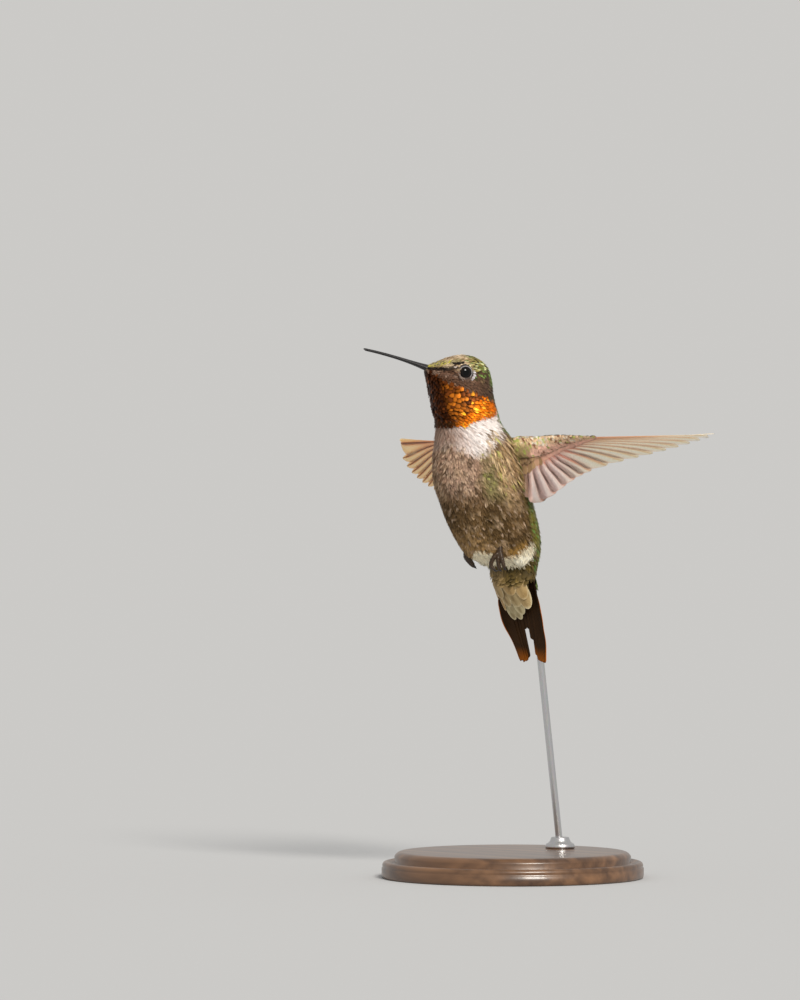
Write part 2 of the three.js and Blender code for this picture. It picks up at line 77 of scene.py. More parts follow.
def wire(tree, *links):
    """Links between nodes, each given as the first node and its output, the next node and its input."""
    for source, output, target, socket in links:
        tree.links.new(source.outputs[output], target.inputs[socket])


surround = np.array((1.0, 0.985, 0.955))
surround_light = 0.56
surround_seen = 0.60
key_turn, key_rise = math.radians(20.0), math.radians(36.0)
key_strength = 2.9
key_colour = np.array((1.0, 0.955, 0.88))
key_spread = math.radians(18.0)
key_distance = 1200.0

world = bpy.data.worlds.new("surround")
bpy.context.scene.world = world
world.use_nodes = True
tree = world.node_tree
shining = tree.nodes["Background"]
shining.inputs["Color"].default_value = (*surround, 1.0)
shining.inputs["Strength"].default_value = surround_light
seen = add_node(tree, "Background", Color=(*surround, 1.0), Strength=surround_seen)
path = add_node(tree, "LightPath")
mix = add_node(tree, "MixShader")
wire(tree, (path, "Is Camera Ray", mix, 0), (shining, 0, mix, 1), (seen, 0, mix, 2),
     (mix, 0, tree.nodes["World Output"], "Surface"))

level = math.cos(key_turn) * view_back + math.sin(key_turn) * view_right
toward_key = math.cos(key_rise) * level + np.array([0.0, 0.0, math.sin(key_rise)])
key_data = bpy.data.lights.new("key_lamp", "SUN")
key_data.energy = key_strength
key_data.color = key_colour
key_data.angle = key_spread
key_lamp = bpy.data.objects.new("key_lamp", key_data)
key_lamp.location = (key_distance * toward_key) * MM
key_lamp.rotation_euler = Vector(toward_key).to_track_quat("Z", "Y").to_euler()
bpy.context.collection.objects.link(key_lamp)


# ---- Floor ----
# A plain pale floor. Far from the stand it takes on the surround's own brightness, so that no
# hard horizon shows.
def new_material(name, **values):
    """A material with its node tree and its Principled shader, whose own inputs take the values."""
    material = bpy.data.materials.new(name)
    material.use_nodes = True
    shader = material.node_tree.nodes["Principled BSDF"]
    for key, value in values.items():
        shader.inputs[key.replace("_", " ")].default_value = value
    return material, material.node_tree, shader


floor_half = 30.0
floor_near, floor_far = 0.6, 3.5            # metres over which the floor fades into the surround
floor_light = key_strength * key_colour * math.sin(key_rise) / math.pi + surround_light * surround
floor_mesh = bpy.data.meshes.new("floor")
corners = [(x * floor_half, y * floor_half, 0.0) for x, y in ((-1, -1), (1, -1), (1, 1), (-1, 1))]
floor_mesh.from_pydata(corners, [], [(0, 1, 2, 3)])
floor = bpy.data.objects.new("floor", floor_mesh)
bpy.context.collection.objects.link(floor)
material, tree, shader = new_material("pale_floor",
                                      Base_Color=(*(surround_seen / floor_light * surround), 1.0),
                                      Roughness=1.0, Specular_IOR_Level=0.0)
place = add_node(tree, "TexCoord")
length = add_node(tree, "VectorMath", operation="LENGTH")
fade = add_node(tree, "MapRange", interpolation_type="SMOOTHSTEP", From_Min=floor_near,
                From_Max=floor_far)
glow = add_node(tree, "Emission", Color=(*surround, 1.0), Strength=surround_seen)
mix = add_node(tree, "MixShader")
wire(tree, (place, "Object", length, 0), (length, "Value", fade, "Value"), (fade, "Result", mix, 0),
     (shader, 0, mix, 1), (glow, 0, mix, 2), (mix, 0, tree.nodes["Material Output"], "Surface"))
floor_mesh.materials.append(material)


# ---- Display stand ----
# A turned and varnished walnut disc, a small turned steel collar screwed to it and a thin steel
# rod that leans forward and bends into the rump.
def smooth(a, b, x):
    """0 below a, 1 above b, and the smooth cubic step between."""
    t = np.clip((np.asarray(x, float) - a) / (b - a), 0.0, 1.0)
    return t * t * (3.0 - 2.0 * t)


def outward(points, faces):
    """The faces, turned over if the closed shape's signed volume comes out negative."""
    volume = 0.0
    for group in faces:
        for k in range(1, group.shape[1] - 1):
            a, b, c = points[group[:, 0]], points[group[:, k]], points[group[:, k + 1]]
            volume += np.einsum("ij,ij->", a, np.cross(b, c))
    return [group[:, ::-1] for group in faces] if volume < 0 else faces


def closed_loft(rings):
    """Quads between rings of equal count, and a fan from each end ring to its middle, facing outwards."""
    rings = np.asarray(rings, float)
    rows, count = rings.shape[:2]
    points = np.concatenate((rings.reshape(-1, 3), rings[[0, -1]].mean(axis=1)))
    row, column = np.meshgrid(np.arange(rows - 1), np.arange(count), indexing="ij")
    a = row * count + column
    b = row * count + (column + 1) % count
    quads = np.stack((a, b, b + count, a + count), -1).reshape(-1, 4)
    around = np.arange(count)
    beside = (around + 1) % count
    end = (rows - 1) * count
    first = np.stack((np.full(count, rows * count), beside, around), -1)
    last = np.stack((np.full(count, rows * count + 1), end + around, end + beside), -1)
    return points, outward(points, [quads, np.concatenate((first, last))])


def join_shapes(shapes):
    """Several (points, faces) shapes as one, with their faces renumbered."""
    points, faces, first = [], [], 0
    for part_points, part_faces in shapes:
        points.append(part_points)
        faces += [group + first for group in part_faces]
        first += len(part_points)
    return np.concatenate(points), faces


def new_piece(name, points, faces, material, slot, replaced=()):
    """A smooth mesh object in metres from points in millimetres; it rides on the one body."""
    mesh = bpy.data.meshes.new(name)
    groups = [np.asarray(group) for group in faces]
    corners = np.concatenate([group.ravel() for group in groups])
    sizes = np.concatenate([np.full(len(group), group.shape[1]) for group in groups])
    mesh.vertices.add(len(points))
    mesh.vertices.foreach_set("co", (points * MM).astype(np.float32).ravel())
    mesh.loops.add(len(corners))
    mesh.loops.foreach_set("vertex_index", corners.astype(np.int32))
    mesh.polygons.add(len(sizes))
    mesh.polygons.foreach_set("loop_start", np.concatenate(([0], np.cumsum(sizes)[:-1])).astype(np.int32))
    mesh.update(calc_edges=True)
    mesh.polygons.foreach_set("use_smooth", np.ones(len(sizes), bool))
    mesh.materials.append(material)
    piece = bpy.data.objects.new(name, mesh)
    bpy.context.collection.objects.link(piece)
    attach(piece, "root")
    if replaced:
        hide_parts(*replaced)
    return piece


def round_angles(count):
    """So many angles, evenly round a full turn."""
    return np.linspace(0.0, 2.0 * np.pi, count, endpoint=False)


def turned(profile, centre_y, segments=160):
    """A turned shape: the (radius, height) profile carried round an upright axis, closed at its ends."""
    profile = np.asarray(profile, float)
    angle = round_angles(segments)
    x = profile[:, :1] * np.cos(angle)
    y = profile[:, :1] * np.sin(angle) + centre_y
    z = np.repeat(profile[:, 1:], segments, axis=1)
    return closed_loft(np.stack((x, y, z), -1))


def roughen(tree, shader, source, output, strength, distance, **settings):
    """A small relief on the shader, its height taken from a node's output."""
    bump = add_node(tree, "Bump", Strength=strength, Distance=distance, **settings)
    wire(tree, (source, output, bump, "Height"), (bump, "Normal", shader, "Normal"))


def two_tone(tree, first, second, start=0.0, end=1.0):
    """A colour ramp between two linear colours, from start to end."""
    ramp = add_node(tree, "ValToRGB")
    for element, tone, place in zip(ramp.color_ramp.elements, (first, second), (start, end)):
        element.color = (*tone, 1.0)
        element.position = place
    return ramp


def arc(centre, radius, start, end, steps):
    """Points on a circular arc, in degrees, as (radius, height) pairs."""
    angle = np.radians(np.linspace(start, end, steps))
    return [(centre[0] + radius * math.cos(a), centre[1] + radius * math.sin(a)) for a in angle]


base_radius = 30.0
base_thickness = 6.0
rod_radius = 0.8
rod_foot = np.array([15.8, 6.0])            # y and z where the rod leaves the base
rod_bend = np.array([8.3, 56.0])
rod_knee = np.array([6.9, 66.0])
rod_tip = np.array([1.0, 79.0])
socket_depth = 2.7

# radius and height, from the underside out round a bead, a cove and a rounded shoulder to the top
base_profile = [(4.0, 0.0), (base_radius - 0.6, 0.0), (base_radius - 0.15, 0.15)]
base_profile += [(base_radius, 0.6), (base_radius, 2.3)]
base_profile += arc((base_radius - 1.0, 2.9), 0.85, -30, 95, 8)
base_profile += arc((base_radius - 2.2, 4.1), 1.0, -80, -150, 5)
base_profile += arc((base_radius - 4.6, 4.2), 1.8, 20, 90, 10)
base_profile += [(18.0, base_thickness), (6.0, base_thickness)]

material, tree, shader = new_material("varnished_walnut", Roughness=0.34, Coat_Weight=0.35,
                                      Coat_Roughness=0.16)
place = add_node(tree, "TexCoord")
stretch = add_node(tree, "Mapping", Scale=(16.0, 170.0, 170.0), Rotation=(0.0, 0.0, 0.5))
wander = add_node(tree, "TexNoise", Scale=1.8, Detail=6.0, Distortion=0.7)
rings = add_node(tree, "TexNoise", Scale=0.55, Detail=2.0, Distortion=2.2)
pores = add_node(tree, "TexNoise", Scale=12.0, Detail=3.0)
grain = add_node(tree, "Mix", data_type="FLOAT", Factor=0.5)
ramp = two_tone(tree, (0.050, 0.022, 0.010), (0.200, 0.100, 0.046), 0.36, 0.66)
roughen(tree, shader, pores, "Fac", 0.08, 0.0002)
wire(tree, (place, "Object", stretch, "Vector"), (stretch, "Vector", wander, "Vector"),
     (stretch, "Vector", rings, "Vector"), (stretch, "Vector", pores, "Vector"))
wire(tree, (wander, "Fac", grain, "A"), (rings, "Fac", grain, "B"), (grain, "Result", ramp, "Fac"),
     (ramp, "Color", shader, "Base Color"))
new_piece("walnut_base", *turned(base_profile, 0.0), material, "stand_wood", ["stand_base"])

steel, tree, shader = new_material("brushed_steel", Metallic=1.0, Base_Color=(0.60, 0.60, 0.61, 1.0))
place = add_node(tree, "TexCoord")
stretch = add_node(tree, "Mapping", Scale=(900.0, 900.0, 60.0))
brush = add_node(tree, "TexNoise", Scale=5.0, Detail=3.0)
dull = add_node(tree, "MapRange", To_Min=0.22, To_Max=0.42)
tint = add_node(tree, "MapRange", data_type="FLOAT_VECTOR", To_Min=(0.50, 0.50, 0.51),
                To_Max=(0.68, 0.68, 0.69))
wire(tree, (place, "Object", stretch, "Vector"), (stretch, "Vector", brush, "Vector"),
     (brush, "Fac", dull, "Value"), (dull, "Result", shader, "Roughness"),
     (brush, "Color", tint, "Vector"), (tint, "Vector", shader, "Base Color"))


def swept_tube(path, radii, sides):
    """A round tube: at each path point a circle square to the path, its size eased along the radii."""
    path = np.asarray(path, float)
    along = np.gradient(path, axis=0)
    along /= np.linalg.norm(along, axis=1)[:, None]
    mean = along.mean(axis=0)
    start = np.eye(3)[np.argmin(np.abs(mean))]
    normal = start - along * (along @ start)[:, None]
    normal /= np.linalg.norm(normal, axis=1)[:, None]
    side = np.cross(along, normal)
    angle = round_angles(sides)[:, None]
    radii = np.asarray(radii, float)[:, None, None]
    rings = path[:, None] + radii * (np.cos(angle) * normal[:, None] + np.sin(angle) * side[:, None])
    return closed_loft(rings)


lean = (rod_bend - rod_foot) / np.linalg.norm(rod_bend - rod_foot)
rod_start = rod_foot - socket_depth * lean
straight = rod_start + np.linspace(0.0, 1.0, 12)[:, None] * (rod_bend - rod_start)
t = np.linspace(0.0, 1.0, 24)[1:, None]
bend = (1 - t) ** 2 * rod_bend + 2 * t * (1 - t) * rod_knee + t ** 2 * rod_tip
route = np.concatenate((straight, bend))
route = np.column_stack((np.zeros(len(route)), route))
points, faces = swept_tube(route, np.full(len(route), rod_radius), 28)
new_piece("steel_rod", points, faces, steel, "stand_steel", ["stand_rod"])

collar_profile = [(0.95, 0.02), (3.1, 0.02), (3.4, 0.12), (3.4, 0.6)]
collar_profile += arc((2.9, 0.75), 0.42, 0, 80, 6)
collar_profile += [(2.5, 1.5), (2.28, 1.9)]
collar_profile += arc((1.8, 2.3), 0.32, 0, 90, 6)
collar_profile += [(0.95, 2.6)]
points, faces = turned(np.array(collar_profile) + (0.0, base_thickness), rod_foot[0], 64)
new_piece("steel_collar", points, faces, steel, "stand_steel", ["stand_collar"])

# ---- Body surface ----
# The bird's body from the root of the tail to the base of the bill. Each station has the middle
# of its section ahead of the neck axis and up, its half width, its reach to the dorsal and the
# ventral outline, the section's tilt and the share of the head's turn.
neck_axis_y = -14.5
head_yaw = math.radians(30.0)
# 0 tail root, 3 vent, 6 belly, 9 upper breast, 12 throat, 15 eye, 18 bill base
stations = np.array([
    (-15.2, 66.9, 4.8, 3.6, 4.6, 90, 0), (-14.9, 69.4, 5.2, 5.0, 5.2, 90, 0),
    (-14.2, 71.5, 6.0, 5.9, 5.9, 90, 0), (-11.9, 73.1, 7.2, 8.7, 8.8, 90, 0),
    (-10.7, 75.3, 8.1, 10.0, 10.2, 90, 0), (-9.3, 78.3, 8.9, 10.8, 11.0, 90, 0),
    (-7.6, 82.0, 9.5, 11.2, 11.5, 90, 0), (-5.8, 86.0, 9.9, 11.2, 11.5, 90, 0),
    (-3.9, 90.5, 10.1, 11.0, 11.4, 90, 0), (-2.6, 95.6, 9.8, 9.9, 10.2, 90, 0),
    (-1.7, 100.0, 8.8, 8.9, 9.2, 90, 0.04), (-0.2, 103.8, 7.2, 7.4, 8.0, 90, 0.25),
    (0.9, 108.0, 6.4, 6.9, 7.8, 78, 0.65), (2.0, 111.9, 6.1, 7.8, 7.7, 60, 0.9),
    (3.6, 113.6, 5.9, 7.5, 6.9, 49, 1), (5.2, 114.6, 5.3, 6.3, 5.9, 41, 1),
    (6.8, 115.3, 4.2, 4.4, 4.6, 34, 1), (8.4, 115.8, 2.8, 2.3, 3.0, 27, 1),
    (10.2, 116.1, 1.35, 0.85, 1.0, 18, 1),
])
last_station = len(stations) - 1


def curve_at(stops, place):
    """The stops' values at each place, on a Catmull-Rom curve whose end stops are repeated."""
    last = len(stops) - 1
    low = np.clip(np.floor(place).astype(int), 0, last - 1)
    t = (place - low)[..., None]
    a, b, c, d = (stops[np.clip(low + k, 0, last)] for k in (-1, 0, 1, 2))
    bend = (2 * a - 5 * b + 4 * c - d) * t ** 2 + (3 * b - a - 3 * c + d) * t ** 3
    return 0.5 * (2 * b + (c - a) * t + bend)


def turned_point(forward, left, up, yaw=head_yaw):
    """A point given ahead of the neck axis, to the left and up, turned about that axis by the yaw."""
    x = left * np.cos(yaw) - forward * np.sin(yaw)
    y = neck_axis_y - forward * np.cos(yaw) - left * np.sin(yaw)
    return np.stack(np.broadcast_arrays(x, y, up), -1)


def body_surface(place, angle, swell):
    """Ellipse round the section's middle with its own dorsal and ventral reach, grown by swell.
    The angle is 0 at the left side, a quarter turn at the back and three quarters at the belly."""
    place, angle, swell = np.broadcast_arrays(place, angle, swell)
    forward, height, side, back, front, tilt, turn = np.moveaxis(curve_at(stations, place), -1, 0)
    tilt = np.radians(tilt)
    rise = (np.where(np.sin(angle) > 0, back, front) + swell) * np.sin(angle)
    left = (side + swell) * np.cos(angle)
    return turned_point(forward - rise * np.sin(tilt), left, height + rise * np.cos(tilt), turn * head_yaw)


# ---- Wing surface ----
# Planform places are out from the shoulder and down the chord from the leading edge; each wing
# then has its own twist, so that the left one shows its underside and the right one its breadth.
shoulder = np.array([7.5, -7.0, 100.9])
wing_sweep = math.radians(25.0)
wing_length = 47.5
wing_chord = 14.4
wing_taper = {"left": 1.05, "right": 0.45}  # how early the chord falls away towards the tip
wing_camber = 0.7
wing_twist = {"left": math.radians(60.0), "right": math.radians(8.0)}
wing_spread = {"left": 0.96, "right": 1.0}
twist_start, twist_reach = 4.0, 6.0
mirrors = {"left": 1.0, "right": -1.0}


def trailing_edge(side, out):
    """The chord at each distance out: full at the shoulder, falling away to nothing at the tip."""
    return wing_chord * (1 - (np.clip(out, 0, wing_length - 1e-6) / wing_length) ** 2) ** wing_taper[side]


def leading_edge(out):
    """Slightly bowed forward at the wrist, dropping back towards the tip."""
    bow = -0.5 * smooth(4, 12, out) + 0.5 * smooth(12, 24, out)
    return bow - (out / wing_length) ** 6


def wing_point(side, out, down, rise):
    """A planform place lifted off the wing's own cambered plane by rise, towards the wing's back."""
    out, down, rise = np.broadcast_arrays(np.asarray(out, float), down, rise)
    twist = wing_twist[side] * (1 - np.exp(-np.maximum(0, out - twist_start) / twist_reach))
    spread = 1 - (1 - wing_spread[side]) * smooth(4, 14, out)
    share = np.clip(down / np.maximum(trailing_edge(side, out), 1), 0, 1)
    lift = rise + wing_camber * 4 * share * (1 - share)
    drop = leading_edge(out) + (down - leading_edge(out)) * spread
    behind = drop * np.sin(twist) + lift * np.cos(twist)
    below = drop * np.cos(twist) - lift * np.sin(twist)
    x = shoulder[0] + out * math.cos(wing_sweep) - behind * math.sin(wing_sweep)
    y = shoulder[1] + out * math.sin(wing_sweep) + behind * math.cos(wing_sweep)
    return np.stack((mirrors[side] * x, y, shoulder[2] - below), -1)


covert_start, covert_reach = 3.0, 16.2      # where the covert line begins, and how far it runs out


def covert_line(share):
    """Where the coverts end and the bare flight feathers begin, from shoulder to hand."""
    return covert_start + covert_reach * share, 5.2 - 4.4 * share ** 1.7


def covert_drop(out):
    """How far down the chord the covert line lies at each distance out."""
    return covert_line(np.clip((out - covert_start) / covert_reach, 0, 1))[1]


arm_start, arm_end = -3.5, 19.0


def arm_surface(side):
    """The arm and hand: a flattened oval between the leading edge and the covert line. The angle is
    0 at the trailing side, a quarter turn at the back of the wing and three quarters below."""
    def surface(out, angle, swell):
        """A point of the arm, thickest at the shoulder, grown by swell."""
        low = covert_drop(out) - 0.3
        high = leading_edge(out) - 0.15
        thick = 0.3 + 1.7 * (1 - smooth(-2, 18, out))
        down = (low + high) / 2 + ((low - high) / 2 + swell) * np.cos(angle)
        return wing_point(side, out, down, (thick + swell) * np.sin(angle) - 0.2)
    return surface


# ---- Tail surface ----
# The tail is a flat fan that leans back a little. Places on it are across, along from the root, and
# up off its plane.
tail_root = np.array([2.2, 66.4])
tail_lean = math.radians(14.5)


def tail_point(across, along, rise):
    """A place on the tail's leaning plane, lifted off it towards the back by rise; the outer
    feathers are cupped towards the underside, most near the root."""
    across, along, rise = np.broadcast_arrays(across, along, rise)
    lift = rise - smooth(4.7, 6.9, np.abs(across)) * (1 - smooth(9, 16, along))
    y = tail_root[0] + along * math.sin(tail_lean) + lift * math.cos(tail_lean)
    z = tail_root[1] - along * math.cos(tail_lean) + lift * math.sin(tail_lean)
    return np.stack((across, y, z), -1)


wedge_start, wedge_end = -1.6, 8.0


def wedge_surface(along, angle, swell):
    """The wedge of feathers under the tail's root: half an ellipse, shrinking towards its end."""
    t = np.clip((along - wedge_start) / (wedge_end - wedge_start), 0, 1)
    width = 4.7 * np.sqrt(1 - 0.93 * t ** 2) + swell
    depth = 5.4 * (1 - t) ** 1.05 + 0.45 + swell
    return tail_point(width * np.cos(angle), along, -0.55 - depth * np.sin(angle))


# ---- Skin ----
# The bird's skin, one closed surface from bill base to tail root and out along both arms. It lies
# a coat's depth inside the plumage, and is finely pimpled where the quills sit.
def grid_shape(surface, u, v, swell):
    """A closed tube of a surface: rings at the places u, points round at the angles v."""
    u = np.asarray(u, float)
    swell = np.broadcast_to(swell, u.shape)
    return closed_loft(surface(u[:, None], np.asarray(v, float)[None], swell[:, None]))


def oval_shape(centre, reach, pitch, rows=24, sides=32):
    """An ellipsoid of three half lengths, pitched about the X axis."""
    polar = np.linspace(0.06, np.pi - 0.06, rows)[:, None]
    around = round_angles(sides)[None]
    ball = np.stack((np.sin(polar) * np.cos(around), np.sin(polar) * np.sin(around),
                     np.cos(polar) + 0 * around), -1) * reach
    c, s = math.cos(pitch), math.sin(pitch)
    x, y, z = np.moveaxis(ball, -1, 0)
    return closed_loft(np.stack((x, c * y - s * z, s * y + c * z), -1) + centre)


def coat_depth(place):
    """How deep the skin lies under the plumage's outline: deepest on the trunk, least at the bill."""
    return 0.95 - 0.4 * smooth(10.0, 13.5, place) - 0.3 * smooth(15.5, 18.0, place)


wedge_skin_end, wedge_depth = 4.8, 0.9      # the wedge's skin stops short of its feathers and lies deep
thigh_place = np.array([5.6, -2.9, 73.9])
thigh_reach = np.array([2.7, 4.3, 3.3])
thigh_pitch = math.radians(-20.0)
thigh_sunk = 0.6                            # how far the loose tufts lie under the thigh's outline
around = round_angles(64)
places = np.linspace(-0.05, last_station, 150)
flesh = [grid_shape(body_surface, places, around, -coat_depth(places))]
wedge = np.linspace(wedge_start, wedge_skin_end, 20)
flesh.append(grid_shape(wedge_surface, wedge, np.linspace(0, np.pi, 24), -wedge_depth))
for side, mirror in mirrors.items():
    outs = np.linspace(arm_start, 16.0, 30)
    flesh.append(grid_shape(arm_surface(side), outs, around[::2], -0.12 - 0.3 * (1 - smooth(0, 16, outs))))
    flesh.append(oval_shape(thigh_place * (mirror, 1, 1), thigh_reach - 0.9 - thigh_sunk, thigh_pitch))
flesh_points, flesh_faces = join_shapes(flesh)


def remeshed(points, faces, voxel):
    """One closed skin round overlapping shapes, by a voxel remesh and a little smoothing."""
    mesh = bpy.data.meshes.new("flesh")
    mesh.from_pydata((points * MM).tolist(), [], [face for group in faces for face in group.tolist()])
    rough = bpy.data.objects.new("flesh", mesh)
    bpy.context.collection.objects.link(rough)
    weld = rough.modifiers.new("weld", "REMESH")
    weld.mode = "VOXEL"
    weld.voxel_size = voxel * MM
    relax = rough.modifiers.new("relax", "SMOOTH")
    relax.factor = 0.5
    relax.iterations = 4
    graph = bpy.context.evaluated_depsgraph_get()
    result = bpy.data.meshes.new_from_object(rough.evaluated_get(graph))
    new_points = np.empty(len(result.vertices) * 3, np.float32)
    result.vertices.foreach_get("co", new_points)
    new_faces = np.array([tuple(face.vertices) for face in result.polygons])
    bpy.data.objects.remove(rough)
    return new_points.reshape(-1, 3).astype(float) / MM, [new_faces]


skin_voxel = 0.33
skin_points, skin_faces = remeshed(flesh_points, flesh_faces, skin_voxel)

# ---- Plumage colours ----
# Where each colour lies on the bird: green back, bronze crown, dusky cheek, black lores, white
# collar, mottled grey-brown belly, white vent. Skin and feathers take theirs from here alike.
def colour(red, green, blue):
    """A linear colour from three display values of 0 to 255."""
    c = np.array((red, green, blue)) / 255.0
    return np.where(c <= 0.04045, c / 12.92, ((c + 0.055) / 1.055) ** 2.4)


def painted(under, mask, over):
    """The under colour with the over colour laid on by the mask."""
    mask = np.clip(mask, 0, 1)[..., None]
    return under * (1 - mask) + over * mask


def mottle(points, size, seed):
    """Smooth random values of -1 to 1 in space: a random lattice of the given cell, eased between."""
    cell = points / size + 100.0
    low = np.floor(cell).astype(int)
    share = cell - low
    share = share * share * (3 - 2 * share)
    total = np.zeros(points.shape[:-1])
    for corner in range(8):
        step = np.array([(corner >> k) & 1 for k in range(3)])
        x, y, z = np.moveaxis(low + step, -1, 0)
        mixed = np.sin(x * 127.1 + y * 311.7 + z * 74.7 + seed * 19.3) * 43758.5453
        weight = np.prod(np.where(step, share, 1 - share), axis=-1)
        total += weight * (2 * (mixed - np.floor(mixed)) - 1)
    return total


def head_frame(points):
    """Places on the head: ahead of the neck axis, to its left, and up, with the head turned straight."""
    x, y, z = np.moveaxis(points, -1, 0)
    y = y - neck_axis_y
    forward = -x * math.sin(head_yaw) - y * math.cos(head_yaw)
    left = x * math.cos(head_yaw) - y * math.sin(head_yaw)
    return forward, left, z


def round_trunk(points):
    """Degrees round the trunk from the ventral middle line, positive on the bird's left."""
    x, y, z = np.moveaxis(points, -1, 0)
    middle = neck_axis_y - np.interp(z, stations[:12, 1], stations[:12, 0])
    return np.degrees(np.arctan2(x, middle - y))


def from_belly(points):
    """The same, alike on both sides: 0 at the ventral middle line, 180 at the spine."""
    return np.abs(round_trunk(points))


def near_line(x, y, start, end, reach):
    """1 on the line from start to end, falling smoothly to 0 at the reach."""
    start, end = np.array(start, float), np.array(end, float)
    way = end - start
    t = np.clip(((x - start[0]) * way[0] + (y - start[1]) * way[1]) / (way @ way), 0, 1)
    gap = np.hypot(x - start[0] - t * way[0], y - start[1] - t * way[1])
    return 1 - smooth(0.35 * reach, reach, gap)


def slantwise(points):
    """How far a point lies along the slant from the bird's right front to its left back."""
    return points[..., 0] + points[..., 1]


def collar_edge(belly_angle):
    """Height of the white collar's lower edge round the breast."""
    return np.interp(belly_angle, [0, 20, 38, 52, 80, 105, 130], [98.8, 97.6, 96.0, 96.6, 99.2, 101.5, 106])


def dusky_shaded_breast(points):
    """1 on the right front of the breast, fading to its left: dusky plumage up to the gorget, deepened by
    painted shade.
    """
    turn = round_trunk(points)
    return smooth(36, 4, turn + 5 * mottle(points, 2.0, 7)) * smooth(-110, -70, turn)


def vent_top(points):
    """Height of the white vent's upper edge round the body: it slants up to the sides, and the brown
    belly hangs down over it on the bird's right front."""
    a = from_belly(points)
    edge = np.interp(a, [0, 20, 35, 50, 64, 79, 90, 103, 116],
                     [74.4, 74.0, 73.2, 72.6, 73.4, 74.3, 75.4, 76.0, 76.6])
    return edge - 5.0 * smooth(-12.2, -13.4, slantwise(points))


def vent_bottom(belly_angle):
    """Height of the white vent's lower edge round the body."""
    return np.interp(belly_angle, [0, 25, 45, 62, 78, 90, 108, 116],
                     [71.2, 71.0, 70.6, 70.7, 71.5, 72.4, 74.3, 75.6])


def trunk_colours(points):
    """Back, flanks, belly, breast and vent."""
    z = points[..., 2]
    a = from_belly(points)
    broad = mottle(points, 4.5, 1)
    fine = 0.6 * mottle(points, 1.5, 2) + 0.6 * mottle(points, 0.8, 7)
    tone = painted(colour(162, 130, 108), smooth(94, 82, z), colour(106, 82, 52))
    slant = slantwise(points)
    tone = painted(tone, smooth(82, 75, z) * smooth(60, 20, a), colour(168, 134, 88))
    pale = smooth(-11.0, -14.0, slant) * smooth(-23.0, -20.5, slant) * smooth(85.5, 90, z)
    tone = painted(tone, pale * 0.6, colour(206, 172, 150))
    shaded = smooth(88, 84, z) * smooth(75.4, 77.0, z) * smooth(72, 58, a) * smooth(-11.5, -8.5, slant)
    tone = painted(tone, shaded * 0.6, colour(60, 44, 20))
    tone = painted(tone, smooth(0.0, 0.5, broad) * 0.32, colour(84, 68, 40))
    tone = painted(tone, smooth(0.1, 0.5, fine) * 0.45, colour(184, 158, 126))
    tone = painted(tone, smooth(0.1, 0.5, -fine) * 0.55, colour(66, 51, 31))
    olive = smooth(40, 52, a) * smooth(84, 72, a) * smooth(84, 88, z) * smooth(98.5, 95, z)
    tone = painted(tone, olive * (0.35 + 0.30 * smooth(-0.4, 0.4, broad)), colour(144, 140, 90))
    buff = smooth(66, 76, a) * smooth(100, 92, a) * smooth(83, 88, z) * smooth(99, 96, z)
    streaky = painted(colour(190, 160, 120), smooth(0.0, 0.5, -fine) * 0.6, colour(104, 82, 54))
    tone = painted(tone, buff * 0.7, streaky)
    tone = painted(tone, smooth(98, 108, a) * 0.8, colour(100, 84, 44))
    collar = smooth(-1.3, 1.3, z - collar_edge(a) + 1.1 * fine)
    tone = painted(tone, collar, colour(246, 238, 234))
    # The breast's right front turns dusky brown: its own dusky plumage, deepened by painted shade.
    dusk_and_shade = smooth(-3.5, 1.5, z - collar_edge(a)) * dusky_shaded_breast(points)
    tone = painted(tone, collar * smooth(46, 22, a) * 0.45, colour(196, 164, 150))
    brown = painted(colour(140, 102, 74), smooth(0, 0.5, fine), colour(108, 80, 50))
    tone = painted(tone, dusk_and_shade * 0.74, brown)
    green = smooth(112, 120, a + 5 * smooth(92, 80, z) + 3 * fine)
    back = painted(colour(110, 106, 36), smooth(-0.2, 0.6, broad), colour(90, 106, 34))
    back = painted(back, smooth(0.2, 0.7, fine) * 0.6, colour(140, 126, 62))
    tone = painted(tone, green, back)
    above = z - vent_top(points)
    low = smooth(0.5, -0.5, above) * (1 - green)
    band = smooth(2.8, 1.2, above) * smooth(46, 58, a) * smooth(94, 84, a)
    tone = painted(tone, band * (1 - low) * 0.8, colour(168, 128, 64))
    tone = painted(tone, low, colour(250, 240, 214))
    under = smooth(0.5, -0.5, z - vent_bottom(a)) * (1 - smooth(116, 124, a))
    return painted(tone, under, painted(colour(104, 86, 46), smooth(0, 0.5, fine) * 0.6, colour(76, 62, 28)))


